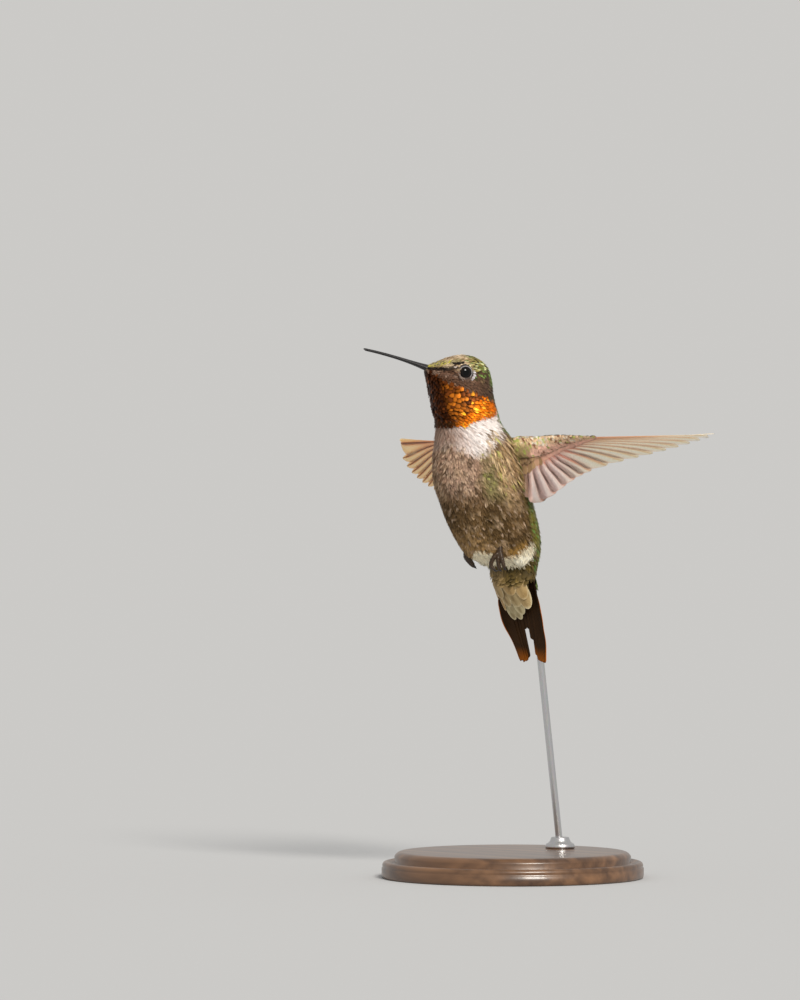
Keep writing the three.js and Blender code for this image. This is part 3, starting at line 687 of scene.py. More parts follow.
def head_colours(points):
    """Crown, brow, lores, cheek and nape."""
    forward, _, z = head_frame(points)
    fine = mottle(points, 0.9, 3)
    broad = mottle(points, 2.4, 4)
    tone = painted(colour(184, 156, 120), smooth(0.0, 0.5, fine) * 0.6, colour(232, 210, 178))
    tone = painted(tone, smooth(0.1, 0.6, -fine) * 0.55, colour(112, 88, 58))
    tone = painted(tone, smooth(5.5, 8.0, forward) * 0.6, colour(128, 110, 66))
    rear = smooth(1.8, -0.6, forward + 0.1 * (118 - z) + 0.7 * broad)
    green = painted(colour(142, 130, 66), smooth(0.0, 0.6, fine) * 0.6, colour(208, 202, 130))
    green = painted(green, smooth(-2.5, -5.0, forward) * smooth(-0.3, 0.4, broad) * 0.8, colour(112, 130, 58))
    tone = painted(tone, rear, green)
    brow = near_line(forward, z, (9.6, 117.0), (3.0, 117.9), 0.75)
    tone = painted(tone, brow * 0.75, colour(170, 158, 112))
    cheek = smooth(115.7, 114.9, z + 0.3 * fine + 0.25 * np.minimum(forward, 0) - 0.7 * smooth(2, 5, forward))
    dark = painted(colour(88, 60, 42), smooth(0.1, 0.6, fine) * 0.5, colour(130, 98, 76))
    behind = painted(colour(74, 54, 40), smooth(0, 0.6, fine) * 0.5, colour(92, 82, 48))
    dark = painted(dark, smooth(0, -3, forward), behind)
    dark = painted(dark, smooth(-4.0, -6.5, forward) * 0.6, colour(52, 60, 34))
    dark = painted(dark, smooth(-3.4, -4.8, forward) * smooth(111.6, 113.0, z) * 0.7, colour(104, 128, 50))
    tone = painted(tone, cheek, dark)
    malar = near_line(forward, z, (9.2, 115.4), (4.6, 114.2), 0.8)
    grizzled = painted(colour(118, 88, 72), smooth(0, 0.5, fine), colour(160, 134, 118))
    tone = painted(tone, malar * 0.5, grizzled)
    lores = (((9.6, 116.15), (6.4, 116.0), 0.5, 1.0), ((6.4, 116.0), (4.3, 116.3), 0.75, 0.9),
             ((4.6, 117.2), (2.4, 117.45), 0.42, 1.0), ((4.6, 115.0), (3.4, 113.6), 0.5, 0.6))
    black = np.max([near_line(forward, z, *line) * depth for *line, depth in lores], axis=0)
    return painted(tone, black, colour(24, 17, 15))


# the gorget's lower edge: degrees round the neck from straight ahead, and heights
gorget_hem = ([0, 24, 66, 73, 80, 110, 140, 150], [102.9, 102.5, 102.7, 102.9, 103.9, 105.0, 105.9, 107.5])


def gorget_edges(points):
    """The gorget's upper and lower height at each direction round the neck, and that direction."""
    forward, left, _ = head_frame(points)
    turn = np.degrees(np.arctan2(np.abs(left), forward - 0.6))
    upper = np.interp(turn, [0, 22, 35, 62, 80, 107, 150], [115.2, 114.6, 112.8, 111.6, 110.3, 109.2, 109.0])
    lower = np.interp(turn, *gorget_hem)
    return upper, lower, turn


def gorget_place(points):
    """How far up the gorget each point lies, 0 at its hem and 1 at its top, and the direction."""
    upper, lower, turn = gorget_edges(points)
    return (points[..., 2] - lower) / (upper - lower), turn


def in_gorget(points):
    """1 inside the gorget's outline, 0 outside, with a narrow soft edge."""
    upper, lower, turn = gorget_edges(points)
    z = points[..., 2]
    inside = smooth(0.25, -0.25, z - upper) * smooth(-0.25, 0.25, z - lower)
    return inside * smooth(152, 148, turn)


def gorget_colours(points):
    """Fiery orange at the sides and below, sinking to black-brown at the chin and in front; the fire is
    painted reflection of the iridescence, laid in by direction round the neck over the scales' own colour.
    """
    share, turn = gorget_place(points)
    # Painted reflection: the fire and the glow mark where the iridescent scales catch the light.
    fire_glint = smooth(40, 58, turn + 18 * (share - 0.3) + 8 * mottle(points, 2.0, 5))
    glow = smooth(64, 92, turn + 44 * (0.42 - share) + 7 * mottle(points, 1.5, 6)) * smooth(44, 58, turn)
    gap = smooth(0.0, 0.6, mottle(points, 1.1, 8)) * 0.6
    tone = painted(colour(72, 34, 8), fire_glint, painted(colour(188, 106, 28), gap, colour(84, 40, 10)))
    # The brightest painted glint, redder far round at the sides.
    glint_tone = painted(colour(236, 120, 14), smooth(112, 136, turn) * 0.5, colour(190, 92, 22))
    return painted(tone, glow, glint_tone)


def plumage(points):
    """The colour of the whole bird's body at each point."""
    forward, _, z = head_frame(points)
    head = smooth(-0.6, 0.6, z - np.interp(forward, [-9, -7, -4, 0], [109.5, 108.0, 106.5, 105.5]))
    tone = painted(trunk_colours(points), head, head_colours(points))
    return painted(tone, in_gorget(points), gorget_colours(points))


# ---- Eyes and lids ----
# Each eye is a wet dark ball set deep in the head, held by a thin ring of bare, finely creased
# lid that joins the skin.
eye_radius = 2.0
eye_forward, eye_side, eye_height = 2.1, 3.75, 115.2
eye_opening = 1.36


def eye_frame(mirror):
    """Eye centre, the way it looks, and the two directions across it: towards the bill and up."""
    centre = turned_point(eye_forward, mirror * eye_side, eye_height)
    neck = turned_point(0.0, 0.0, 0.0)
    look = turned_point(0.0, mirror, 0.0) - neck
    ahead = turned_point(1.0, 0.0, 0.0) - neck
    return centre, look, ahead, np.array([0.0, 0.0, 1.0])


wet_eye, tree, shader = new_material("wet_eye", Roughness=0.03, Specular_IOR_Level=0.2)
depth = add_node(tree, "Attribute", attribute_name="iris")
ramp = two_tone(tree, (0.0012, 0.0011, 0.0013), (0.0062, 0.0040, 0.0032), 0.52, 0.60)
wire(tree, (depth, "Fac", ramp, "Fac"), (ramp, "Color", shader, "Base Color"))


def set_attribute(piece, name, kind, values):
    """A per-point attribute of the mesh: FLOAT, FLOAT_VECTOR, or FLOAT_COLOR with alpha added."""
    values = np.asarray(values, np.float32)
    layer = piece.data.attributes.new(name, kind, "POINT")
    if kind == "FLOAT_COLOR":
        values = np.column_stack((values, np.ones(len(values), np.float32)))
    key = {"FLOAT": "value", "FLOAT_VECTOR": "vector", "FLOAT_COLOR": "color"}[kind]
    layer.data.foreach_set(key, np.ascontiguousarray(values).ravel())


# profile of the lid: distance from the axis of the eye, and height along it
lid_profile = np.array([(1.37, 1.46), (1.41, 1.51), (1.47, 1.525), (1.54, 1.49), (1.61, 1.42), (1.68, 1.32),
                        (1.80, 1.16), (1.98, 0.90), (1.9, 0.5), (1.6, 0.8), (1.42, 1.2)])
lid_pale = [0.7, 1.0, 1.0, 0.6, 0.15, 0.0, 0.0, 0.0, 0.0, 0.0, 0.3]     # how pale each row of it is
lid_sides = 96
lid_shapes = []
for side, mirror in mirrors.items():
    centre, look, ahead, up = eye_frame(mirror)
    polar = np.linspace(0.02, np.pi - 0.02, 40)[:, None, None]
    around = round_angles(56)[None, :, None]
    ball = np.cos(polar) * look + np.sin(polar) * (np.cos(around) * ahead + np.sin(around) * up)
    points, faces = closed_loft(centre + eye_radius * ball)
    eye = new_piece(f"eye_ball_{side}", points, faces, wet_eye, "eye_gloss", [f"eye_{side}"])
    from_axis = np.linalg.norm(np.cross(points - centre, look), axis=1) / eye_opening
    set_attribute(eye, "iris", "FLOAT", from_axis)

    around = round_angles(lid_sides)
    crease = 0.018 * np.sin(31 * around) * np.sin(2.3 * around + 1)
    pointed = 0.06 * np.maximum(np.cos(around), 0) ** 6 - 0.03 * np.abs(np.sin(around)) ** 3
    reach = lid_profile[:, None, 0] * (1 + pointed) + crease * np.sin(np.arange(len(lid_profile)))[:, None]
    spoke = np.cos(around)[:, None] * ahead + np.sin(around)[:, None] * up
    rings = centre + lid_profile[:, None, 1, None] * look + reach[..., None] * spoke
    rows, count = rings.shape[:2]
    row, column = np.meshgrid(np.arange(rows), np.arange(count), indexing="ij")
    beside = (column + 1) % count
    after = (row + 1) % rows
    quads = np.stack((row * count + column, row * count + beside, after * count + beside,
                      after * count + column), -1).reshape(-1, 4)
    flat = rings.reshape(-1, 3)
    lid_shapes.append((flat, outward(flat - centre, [quads])))

material, tree, shader = new_material("bird_skin", Roughness=0.62, Subsurface_Weight=0.08,
                                      Subsurface_Radius=(1.0, 0.5, 0.25), Subsurface_Scale=0.0008)
tone = add_node(tree, "Attribute", attribute_name="plume")
place = add_node(tree, "TexCoord")
pimples = add_node(tree, "TexVoronoi", Scale=1400.0)
blotch = add_node(tree, "TexNoise", Scale=600.0, Detail=4.0)
shade = add_node(tree, "MapRange", To_Min=0.72, To_Max=1.15)
scale = add_node(tree, "VectorMath", operation="SCALE")
roughen(tree, shader, pimples, "Distance", 0.25, 0.0001)
wire(tree, (place, "Object", pimples, "Vector"), (place, "Object", blotch, "Vector"),
     (blotch, "Fac", shade, "Value"), (tone, "Color", scale, 0), (shade, "Result", scale, "Scale"),
     (scale, "Vector", shader, "Base Color"))

points, faces = join_shapes([(skin_points, skin_faces), *lid_shapes])
flesh_nodes = ["head", "neck", "breast", "belly", "rump", "undertail_coverts"]
flesh_nodes += [f"thigh_{side}" for side in mirrors] + [f"wing_{side}_arm" for side in mirrors]
skin = new_piece("skin", points, faces, material, "head_plumage", flesh_nodes)
# The skin is the plumage's colour darkened to 0.55: dark like real down, and partly painted shade, so that
# gaps in the coat look shaded.
skin_tone = plumage(points) * 0.55
in_arm = smooth(9.5, 11.0, np.abs(points[:, 0])) * smooth(88, 92, points[:, 2])
skin_tone = painted(skin_tone, in_arm, colour(120, 92, 72))
under_tail_skin = smooth(64.5, 63.0, points[:, 2]) * (np.abs(points[:, 0]) < 8)
skin_tone = painted(skin_tone, under_tail_skin, colour(40, 27, 17))
first_lid = len(skin_points)
lid_ring = np.tile(np.repeat(lid_pale, lid_sides), 2)
skin_tone[first_lid:] = painted(colour(52, 42, 38), lid_ring * 0.8, colour(172, 168, 170))
set_attribute(skin, "plume", "FLOAT_COLOR", skin_tone)

# ---- Bill ----
# Two long horny halves that meet along the gape, gently arched and needle fine. The upper one
# has a low ridge and a slit nostril under its base, the lower one is a little shorter.
bill_start, bill_tip = 9.6, 24.65
bill_start_height, bill_tip_height = 116.1, 120.45
bill_arch = 0.34                            # how high the bill's middle rides over a straight line

bill_horn, tree, shader = new_material("bill_horn", Roughness=0.34, Specular_IOR_Level=0.3)
place = add_node(tree, "TexCoord")
streak = add_node(tree, "TexNoise", Scale=900.0, Detail=4.0)
ramp = two_tone(tree, (0.006, 0.0055, 0.006), (0.034, 0.031, 0.034))
roughen(tree, shader, streak, "Fac", 0.12, 0.00005)
wire(tree, (place, "Object", streak, "Vector"), (streak, "Fac", ramp, "Fac"),
     (ramp, "Color", shader, "Base Color"))


def bill_shape(upper):
    """Half an oval carried along the bill's arch: the width and depth taper to a blunt tip."""
    end = 1.0 if upper else 0.985
    t = np.linspace(0, end, 70)[:, None]
    angle = np.linspace(0, np.pi, 25)[None]
    forward = bill_start + (bill_tip - bill_start) * t
    height = bill_start_height + (bill_tip_height - bill_start_height) * t + bill_arch * 4 * t * (1 - t)
    close = np.sqrt(np.clip(1 - smooth(0.975, 1.0, t / end) ** 2 * 0.9, 0, 1))
    width = (0.25 + 0.85 * (1 - t) ** 2.4 + 0.06 * (1 - t)) * close
    depth = (0.30 + 0.12 * (1 - t) + 0.42 * (1 - t) ** 5) * close
    if not upper:
        depth = depth * 0.86
        width = width * 0.94
    ridge, groove = 1.0, 0.0
    if upper:
        ridge = 1 + 0.16 * np.exp(-((angle - np.pi / 2) / 0.28) ** 2) * (1 - t) ** 0.4
        both_sides = np.exp(-((angle - 0.75) / 0.22) ** 2) + np.exp(-((angle - np.pi + 0.75) / 0.22) ** 2)
        groove = 0.12 * np.exp(-((t - 0.085) / 0.05) ** 2) * both_sides
    across = width * np.cos(angle) * (1 - groove)
    rise = 0.012 + depth * np.sin(angle) * (ridge - groove)
    return closed_loft(turned_point(forward + 0 * angle, across, height + (rise if upper else -rise)))


for name, upper in (("upper", True), ("lower", False)):
    new_piece(f"bill_{name}_half", *bill_shape(upper), bill_horn, "bill_horn", [f"bill_{name}"])

# ---- Feather coat ----
# Small feathers lie on the body like tiles: each root is sunk in the coat, each vane follows the
# body's curve tailwards, and its tip rides over the roots of the next ones.
def stretch_of(surface, u, v, step):
    """The surface's points, and the millimetres it runs for each unit of u and of v, by a small step."""
    base = surface(u, v, 0.0)
    per_u = np.linalg.norm(surface(u + step, v, 0.0) - base, axis=1) / step
    return base, per_u, np.linalg.norm(surface(u, v + step, 0.0) - base, axis=1) / step


def scatter(surface, u_range, v_range, spacing, rng, wanted, keep, lead=0.0):
    """Root places spread evenly over part of a surface, and where the vanes rooted there show: lead
    millimetres on, towards smaller u. Random places, as dense as the surface is stretched, are kept
    in turn where their vane shows in a wanted place and no kept root lies within the spacing."""
    count = wanted * 14
    u = rng.uniform(*u_range, count * 3)
    v = rng.uniform(*v_range, count * 3)
    root, per_u, per_v = stretch_of(surface, u, v, 0.002)
    area = per_u * per_v
    shown = surface(u - lead / per_u, v, 0.0)
    chosen = (rng.uniform(0, np.percentile(area, 99), len(area)) < area) & keep(shown)
    u, v, root, shown = (values[chosen][:count] for values in (u, v, root, shown))
    gap = spacing(root) if callable(spacing) else np.full(len(root), spacing)
    cell = gap.max()
    filled = {}
    kept = []
    for index, (p, g) in enumerate(zip(root.tolist(), gap.tolist())):
        x, y, z = (int(value // cell) for value in p)
        around = (filled.get((i, j, k), ()) for i in (x - 1, x, x + 1) for j in (y - 1, y, y + 1)
                  for k in (z - 1, z, z + 1))
        if all((q[0] - p[0]) ** 2 + (q[1] - p[1]) ** 2 + (q[2] - p[2]) ** 2 >= g * g
               for group in around for q in group):
            filled.setdefault((x, y, z), []).append(p)
            kept.append(index)
    return u[kept], v[kept], root[kept], shown[kept]


def lay_feathers(surface, u, v, heading, length, width, rng, fingers=1, columns=4, rows=6, split=0.0,
                 ragged=0.1, sunk=0.45, proud=0.1, dome=0.06, tip=0.6, curl=0.0, wisp=0.0):
    """Vanes laid on a surface. Along each vane t runs from root to tip, across it s runs from -0.5
    to 0.5. The heading is a direction in millimetres over the surface's two parameters. The width
    swells from the root and rounds off past the tip share; a vane of several fingers is slit into
    locks, each narrowed by split, with lengths ragged. Its height goes from sunk under the outline
    to proud of it, with a dome across."""
    count = len(u)
    length, width = np.broadcast_to(length, count), np.broadcast_to(width, count)
    proud, heading = np.broadcast_to(proud, count), np.asarray(heading, float)
    heading = heading / np.linalg.norm(heading, axis=1)[:, None]
    t = (1 - (1 - np.linspace(0, 1, rows + 1)) ** 1.35)[None, None, None, :]
    local = np.linspace(-0.5, 0.5, columns + 1)[None, None, :, None]
    middle = ((np.arange(fingers) + 0.5) / fingers - 0.5)[None, :, None, None]
    swell = 0.4 + 0.6 * smooth(0, 0.45, t)
    rounded = np.sqrt(np.clip(1 - (np.clip((t - tip) / (1 - tip), 0, 1)) ** 2.4, 0.012, 1))
    narrow = 1 - split * smooth(0.25, 1, t)
    if fingers > 1:
        rounded = 1 - 0.35 * smooth(tip, 1, t)
        narrow = narrow * (1 - 0.55 * smooth(0.84, 1.0, t))
    drift = rng.normal(0, 0.5 * wisp, (count, fingers, 1, 1)) * t ** 2
    s = (middle + local / fingers * narrow) * swell * rounded + drift
    reach = 1 - ragged * rng.random((count, fingers, 1, 1))
    if fingers > 1:
        reach = reach * (1 - 0.5 * np.abs(middle * 2) ** 2.2)
    along = t * reach
    mm_along = along * length[:, None, None, None]
    mm_across = s * width[:, None, None, None]
    _, per_u, per_v = stretch_of(surface, u, v, 0.004)
    _, mid_per_u, mid_per_v = stretch_of(surface, u + heading[:, 0] * length / 2 / per_u,
                                         v + heading[:, 1] * length / 2 / per_v, 0.004)
    per_u, per_v = (per_u + mid_per_u) / 2, (per_v + mid_per_v) / 2
    hu, hv = heading[:, 0, None, None, None], heading[:, 1, None, None, None]
    place_u = u[:, None, None, None] + (hu * mm_along - hv * mm_across) / per_u[:, None, None, None]
    place_v = v[:, None, None, None] + (hv * mm_along + hu * mm_across) / per_v[:, None, None, None]
    lift = rng.normal(0, 0.05, (count, fingers, 1, 1)) * along
    height = -sunk * (1 - along) ** 1.1 + proud[:, None, None, None] * along ** 1.5 + lift
    height = height + dome * (1 - (2 * s) ** 2) * smooth(0, 0.5, t) - curl * smooth(0.7, 1, t)
    place_u, place_v, height = np.broadcast_arrays(place_u, place_v, height)
    points = surface(place_u, place_v, height)
    number = np.arange(points[..., 0].size).reshape(points.shape[:-1])
    a, b = number[:, :, :-1, :-1], number[:, :, 1:, :-1]
    c, d = number[:, :, 1:, 1:], number[:, :, :-1, 1:]
    quads = np.stack((a, b, c, d), -1).reshape(-1, 4)
    flat = points.reshape(-1, 3)
    outer = surface(place_u, place_v, height + 0.05).reshape(-1, 3)
    sample = quads[:: max(1, len(quads) // 400)]
    normal = np.cross(flat[sample[:, 2]] - flat[sample[:, 0]], flat[sample[:, 3]] - flat[sample[:, 1]])
    if np.einsum("ij,ij->i", normal, outer[sample[:, 0]] - flat[sample[:, 0]]).sum() < 0:
        quads = quads[:, ::-1]
    shape = points.shape[:-1]
    spread = lambda values: np.broadcast_to(values, shape).ravel()
    index = spread(np.arange(count)[:, None, None, None])
    return {"points": flat, "faces": [quads], "feather": index, "along": spread(along), "across": spread(s),
            "finger": spread(np.arange(count * fingers).reshape(count, fingers, 1, 1)),
            "length": length[index], "width": width[index], "edge": spread(np.abs(local) * 2)}


def plume_material(name, roughness, sheen, barb_size, barb_shade, barb_bump, metallic=False, specular=0.2,
                   through=0.0):
    """A feather finish: colour from the piece's own attribute, shaded by noise drawn out along the
    barbs, which run slantwise off the shaft; the gloss attribute turns it metallic where it is wanted,
    and some of the light can come through a closed thin web."""
    material, tree, shader = new_material(name, Specular_IOR_Level=specular, Sheen_Weight=sheen,
                                          Sheen_Roughness=0.4, Subsurface_Weight=through,
                                          Subsurface_Radius=(1.0, 0.9, 0.8), Subsurface_Scale=0.0006)
    tone = add_node(tree, "Attribute", attribute_name="plume")
    barb = add_node(tree, "Attribute", attribute_name="barb")
    stretch = add_node(tree, "Mapping", Scale=(1 / barb_size, 0.12 / barb_size, 7.0))
    noise = add_node(tree, "TexNoise", Scale=1.0, Detail=3.0, Roughness=0.6)
    shade = add_node(tree, "MapRange", From_Min=0.3, From_Max=0.7, To_Min=1.0 - barb_shade,
                     To_Max=1.0 + barb_shade)
    scale = add_node(tree, "VectorMath", operation="SCALE")
    roughen(tree, shader, noise, "Fac", barb_bump, 0.0001)
    wire(tree, (barb, "Vector", stretch, "Vector"), (stretch, "Vector", noise, "Vector"),
         (noise, "Fac", shade, "Value"), (tone, "Color", scale, 0), (shade, "Result", scale, "Scale"),
         (scale, "Vector", shader, "Base Color"))
    if metallic:
        gloss = add_node(tree, "Attribute", attribute_name="gloss")
        dull = add_node(tree, "MapRange", To_Min=roughness, To_Max=0.34)
        wire(tree, (gloss, "Fac", shader, "Metallic"), (gloss, "Fac", dull, "Value"),
             (dull, "Result", shader, "Roughness"))
    else:
        shader.inputs["Roughness"].default_value = roughness
    return material


def barb_places(along, across, slope, slice_of_noise):
    """Places for the barbs' noise: along less the slope times across, across, and a slice of its own."""
    return np.stack(np.broadcast_arrays(along - slope * np.abs(across), across, slice_of_noise), -1)


tuft_patch = 0.003                          # width of one feather's patch on the unwrap of the skin


def body_unwrap(u, v):
    """Unwrap of the body: place along it across two thirds of the sheet, angle up it."""
    return np.column_stack((0.02 + 0.62 * u / last_station, 0.01 + 0.97 * ((v / (2 * np.pi)) % 1.0)))


def coat_piece(name, vanes, tones, material, slot, roots, gloss=None):
    """A joined mesh of feathers with their colours, barb places and the unwrap of their roots."""
    piece = new_piece(name, vanes["points"], vanes["faces"], material, slot)
    set_attribute(piece, "plume", "FLOAT_COLOR", np.clip(tones, 0.0005, 1.0))
    across = vanes["across"] * vanes["width"]
    along = vanes["along"] * vanes["length"]
    barb = barb_places(along, across, 1.3, vanes["finger"] * 0.731 % 97)
    set_attribute(piece, "barb", "FLOAT_VECTOR", barb)
    if gloss is not None:
        set_attribute(piece, "gloss", "FLOAT", gloss)
    sheet = np.asarray(roots)[vanes["feather"]]
    sheet = sheet + tuft_patch * np.column_stack((vanes["across"] + 0.5, vanes["along"]))
    layer = piece.data.uv_layers.new(name="OFBake")
    layer.data.foreach_set("uv", sheet[vanes["faces"][0].ravel()].astype(np.float32).ravel())


def feather_tones(vanes, root_tones, rng, jitter, finger_jitter, base, fringe=None, fringe_from=0.75):
    """Per-point colours: each feather and each lock varies a little, roots are darker, and the tips
    may carry a fringe colour."""
    feathers = len(root_tones)
    fingers = vanes["finger"].max() + 1
    tone = root_tones * (1 + rng.normal(0, jitter, (feathers, 1)))
    tone = tone[vanes["feather"]] * (1 + rng.normal(0, finger_jitter, (fingers, 1)))[vanes["finger"]]
    tone = tone * (base + (1 - base) * smooth(0.1, 0.7, vanes["along"]))[:, None]
    if fringe is not None:
        tone = painted(tone, smooth(fringe_from, 1.0, vanes["along"]) * 0.7, fringe)
    return tone


def strew(tones, rng, share, tint, strength=1.0):
    """Random feathers take on the tint by the strength: as many as the share says, which may differ
    from feather to feather."""
    struck = rng.random(len(tones)) < share
    tones[struck] = tones[struck] * (1 - strength) + strength * tint


def side_of(v):
    """+1 on the left of the body, -1 on the right."""
    return np.where(np.cos(v) >= 0, 1.0, -1.0)


def away_from_eyes(points, reach):
    """True where a point lies outside the bare ring of both eyes."""
    clear = np.ones(len(points), bool)
    for mirror in mirrors.values():
        centre, look, _, _ = eye_frame(mirror)
        offset = points - centre
        clear &= (np.linalg.norm(np.cross(offset, look), axis=1) > reach) | (offset @ look < 0)
    return clear


# ---- Belly and flank feathers ----
# Soft grey-brown body feathers, each slit into a few downy locks, lying tailwards and a little
# outwards over belly and flanks.
soft_plume = plume_material("soft_plume", 0.9, 0.02, 0.10, 0.22, 0.25, specular=0.1)


def tailward(u, v, veer):
    """Heading tailwards over the body, veering by so many degrees away from the ventral line."""
    turn = np.radians(veer)
    return np.column_stack((-np.cos(turn) * np.ones(len(u)), np.sin(turn) * side_of(v)))


def on_belly(points):
    """The belly and flanks, up to the collar and round to the green of the back."""
    a = from_belly(points)
    return (a < 122) & (points[:, 2] > vent_top(points) - 0.5) & (points[:, 2] < collar_edge(a) + 0.6)


for side, turn_range in (("left", (-0.5 * np.pi, 0.5 * np.pi)), ("right", (0.5 * np.pi, 1.5 * np.pi))):
    rng = np.random.default_rng(11)
    u, v, root, shown = scatter(body_surface, (3.4, 10.9), turn_range, 0.43, rng, 5800, on_belly, 1.4)
    angle = from_belly(shown)
    veer = 8 + 18 * smooth(86, 96, shown[:, 2]) * smooth(10, 40, angle) + rng.normal(0, 7, len(u))
    size = 1.85 + 0.1 * smooth(92, 80, shown[:, 2]) + rng.normal(0, 0.2, len(u))
    vanes = lay_feathers(body_surface, u, v, tailward(u, v, veer), size, 1.05, rng, fingers=4, columns=1,
                         rows=5, split=0.3, ragged=0.22, sunk=0.45, proud=0.10, dome=0.1, wisp=0.10)
    tones = plumage(shown)
    olive = 0.11 * smooth(42, 54, angle) * smooth(92, 78, angle) * smooth(86, 90, shown[:, 2])
    pale = 0.06 + 0.20 * smooth(60, 30, angle) * smooth(84, 90, shown[:, 2])
    strew(tones, rng, olive, colour(170, 168, 98))
    strew(tones, rng, pale, colour(212, 184, 158), 0.5)
    strew(tones, rng, 0.20, colour(54, 42, 26), 0.5)
    tones = feather_tones(vanes, tones, rng, 0.16, 0.08, 0.58, colour(170, 138, 100), 0.74)
    coat_piece(f"belly_feathers_{side}", vanes, tones, soft_plume, "belly_plumage", body_unwrap(u, v))

# ---- Collar and upper breast ----
# Long fine white feathers, slit into locks, that stream down and outwards from under the gorget,
# flecked with brown where the breast darkens: dusky plumage and painted shade on its right front.
rng = np.random.default_rng(12)


def on_collar(points):
    """Upper breast and collar, from under the gorget's edge down to the belly's feathers."""
    a = from_belly(points)
    _, lower, _ = gorget_edges(points)
    return (points[:, 2] > collar_edge(a) - 1.2) & (points[:, 2] < lower + 1.2) & (a < 120)


u, v, root, shown = scatter(body_surface, (8.9, 13.2), (0, 2 * np.pi), 0.46, rng, 4600, on_collar, 2.0)
angle = from_belly(shown)
veer = 10 + 26 * smooth(8, 45, angle) + rng.normal(0, 8, len(u))
vanes = lay_feathers(body_surface, u, v, tailward(u, v, veer), 2.7 + rng.normal(0, 0.3, len(u)), 0.9, rng,
                     fingers=4, columns=1, rows=5, split=0.35, ragged=0.3, sunk=0.45, proud=0.12, wisp=0.12)
tones = plumage(shown)
# More brown-flecked feathers on the right front: dusky plumage and painted shade.
strew(tones, rng, 0.10 + 0.25 * dusky_shaded_breast(shown), colour(150, 116, 98), 0.45)
tones = feather_tones(vanes, tones, rng, 0.05, 0.05, 0.88)
coat_piece("collar_feathers", vanes, tones, soft_plume, "breast_plumage", body_unwrap(u, v))

# ---- Back and rump ----
# Broader green feathers from nape to tail, lying close like scales, with a bronze or blue-green
# shimmer on their outer half.
scale_plume = plume_material("scale_plume", 0.6, 0.03, 0.09, 0.15, 0.3, metallic=True)
rng = np.random.default_rng(13)


def on_back(points):
    """The green of back and rump."""
    return (from_belly(points) > 111) & (points[:, 2] < 107.5) & (points[:, 2] > 66.0)


u, v, root, shown = scatter(body_surface, (1.15, 12.9), (0, np.pi), 0.72, rng, 3200, on_back, 1.6)
size = np.minimum(2.3 + 0.5 * smooth(90, 76, root[:, 2]), 2.4 * (u - 0.1)) + rng.normal(0, 0.1, len(u))
vanes = lay_feathers(body_surface, u, v, tailward(u, v, rng.normal(0, 5, len(u))), size, 1.45, rng, columns=6,
                     rows=6, ragged=0.12, sunk=0.45, proud=0.08, dome=0.09, tip=0.5)
tones = plumage(shown)
strew(tones, rng, 0.20, colour(92, 152, 66), 0.5)
strew(tones, rng, 0.10 * smooth(86, 92, shown[:, 2]), colour(60, 130, 110), 0.6)
tones = feather_tones(vanes, tones, rng, 0.16, 0.0, 0.4, colour(120, 104, 62), 0.82)
gloss = 0.4 * smooth(0.45, 0.8, vanes["along"])
coat_piece("back_feathers", vanes, tones, scale_plume, "back_plumage", body_unwrap(u, v), gloss)

# ---- Flank plumes ----
# Long loose buff strands, rooted at the armpit, that hang over the flank and close the gap to the
# wing, some of them pale, some dark.
rng = np.random.default_rng(22)


def on_flank(points):
    """The side of the breast below the wing's root."""
    a = from_belly(points)
    return (a > 66) & (a < 116) & (points[:, 2] > 89.5) & (points[:, 2] < 101.5)


u, v, root, shown = scatter(body_surface, (6.8, 11.6), (0, 2 * np.pi), 0.62, rng, 1500, on_flank, 1.5)
angle = from_belly(shown)
vanes = lay_feathers(body_surface, u, v, tailward(u, v, 4 + rng.normal(0, 9, len(u))),
                     3.6 + rng.normal(0, 0.5, len(u)), 0.9, rng, fingers=4, columns=1, rows=7, split=0.4,
                     ragged=0.45, sunk=0.3, proud=0.35 + 0.5 * smooth(80, 100, angle), wisp=0.22)
tones = painted(plumage(shown), 0.65, colour(178, 144, 100))
for share, tint in ((0.36, colour(228, 198, 156)), (0.18, colour(74, 54, 32)), (0.04, colour(178, 182, 92))):
    strew(tones, rng, share, tint, 0.7)
tones = feather_tones(vanes, tones, rng, 0.12, 0.16, 0.6)
coat_piece("flank_plumes", vanes, tones, soft_plume, "belly_plumage", body_unwrap(u, v))

# ---- Crown, cheeks and nape ----
# The smallest feathers of all: short scales from the bill's base over the crown, finer still
# round the eye, and dark silky ones on lores and cheeks.
rng = np.random.default_rng(14)


def on_head(points):
    """All of the head but the gorget and the bare rings of the eyes."""
    _, lower, turn = gorget_edges(points)
    z = points[:, 2]
    outside = (in_gorget(points) < 0.5) & ((z > lower) | (turn > 146))
    return (z > 105.2) & outside & away_from_eyes(points, 1.80)


def head_spacing(points):
    """Feather spacing over the head: tightest at the bill and round the eyes, widest on the nape."""
    forward, _, _ = head_frame(points)
    return 0.33 + 0.11 * smooth(2.5, -4.0, forward) - 0.06 * smooth(6.5, 9.0, forward)


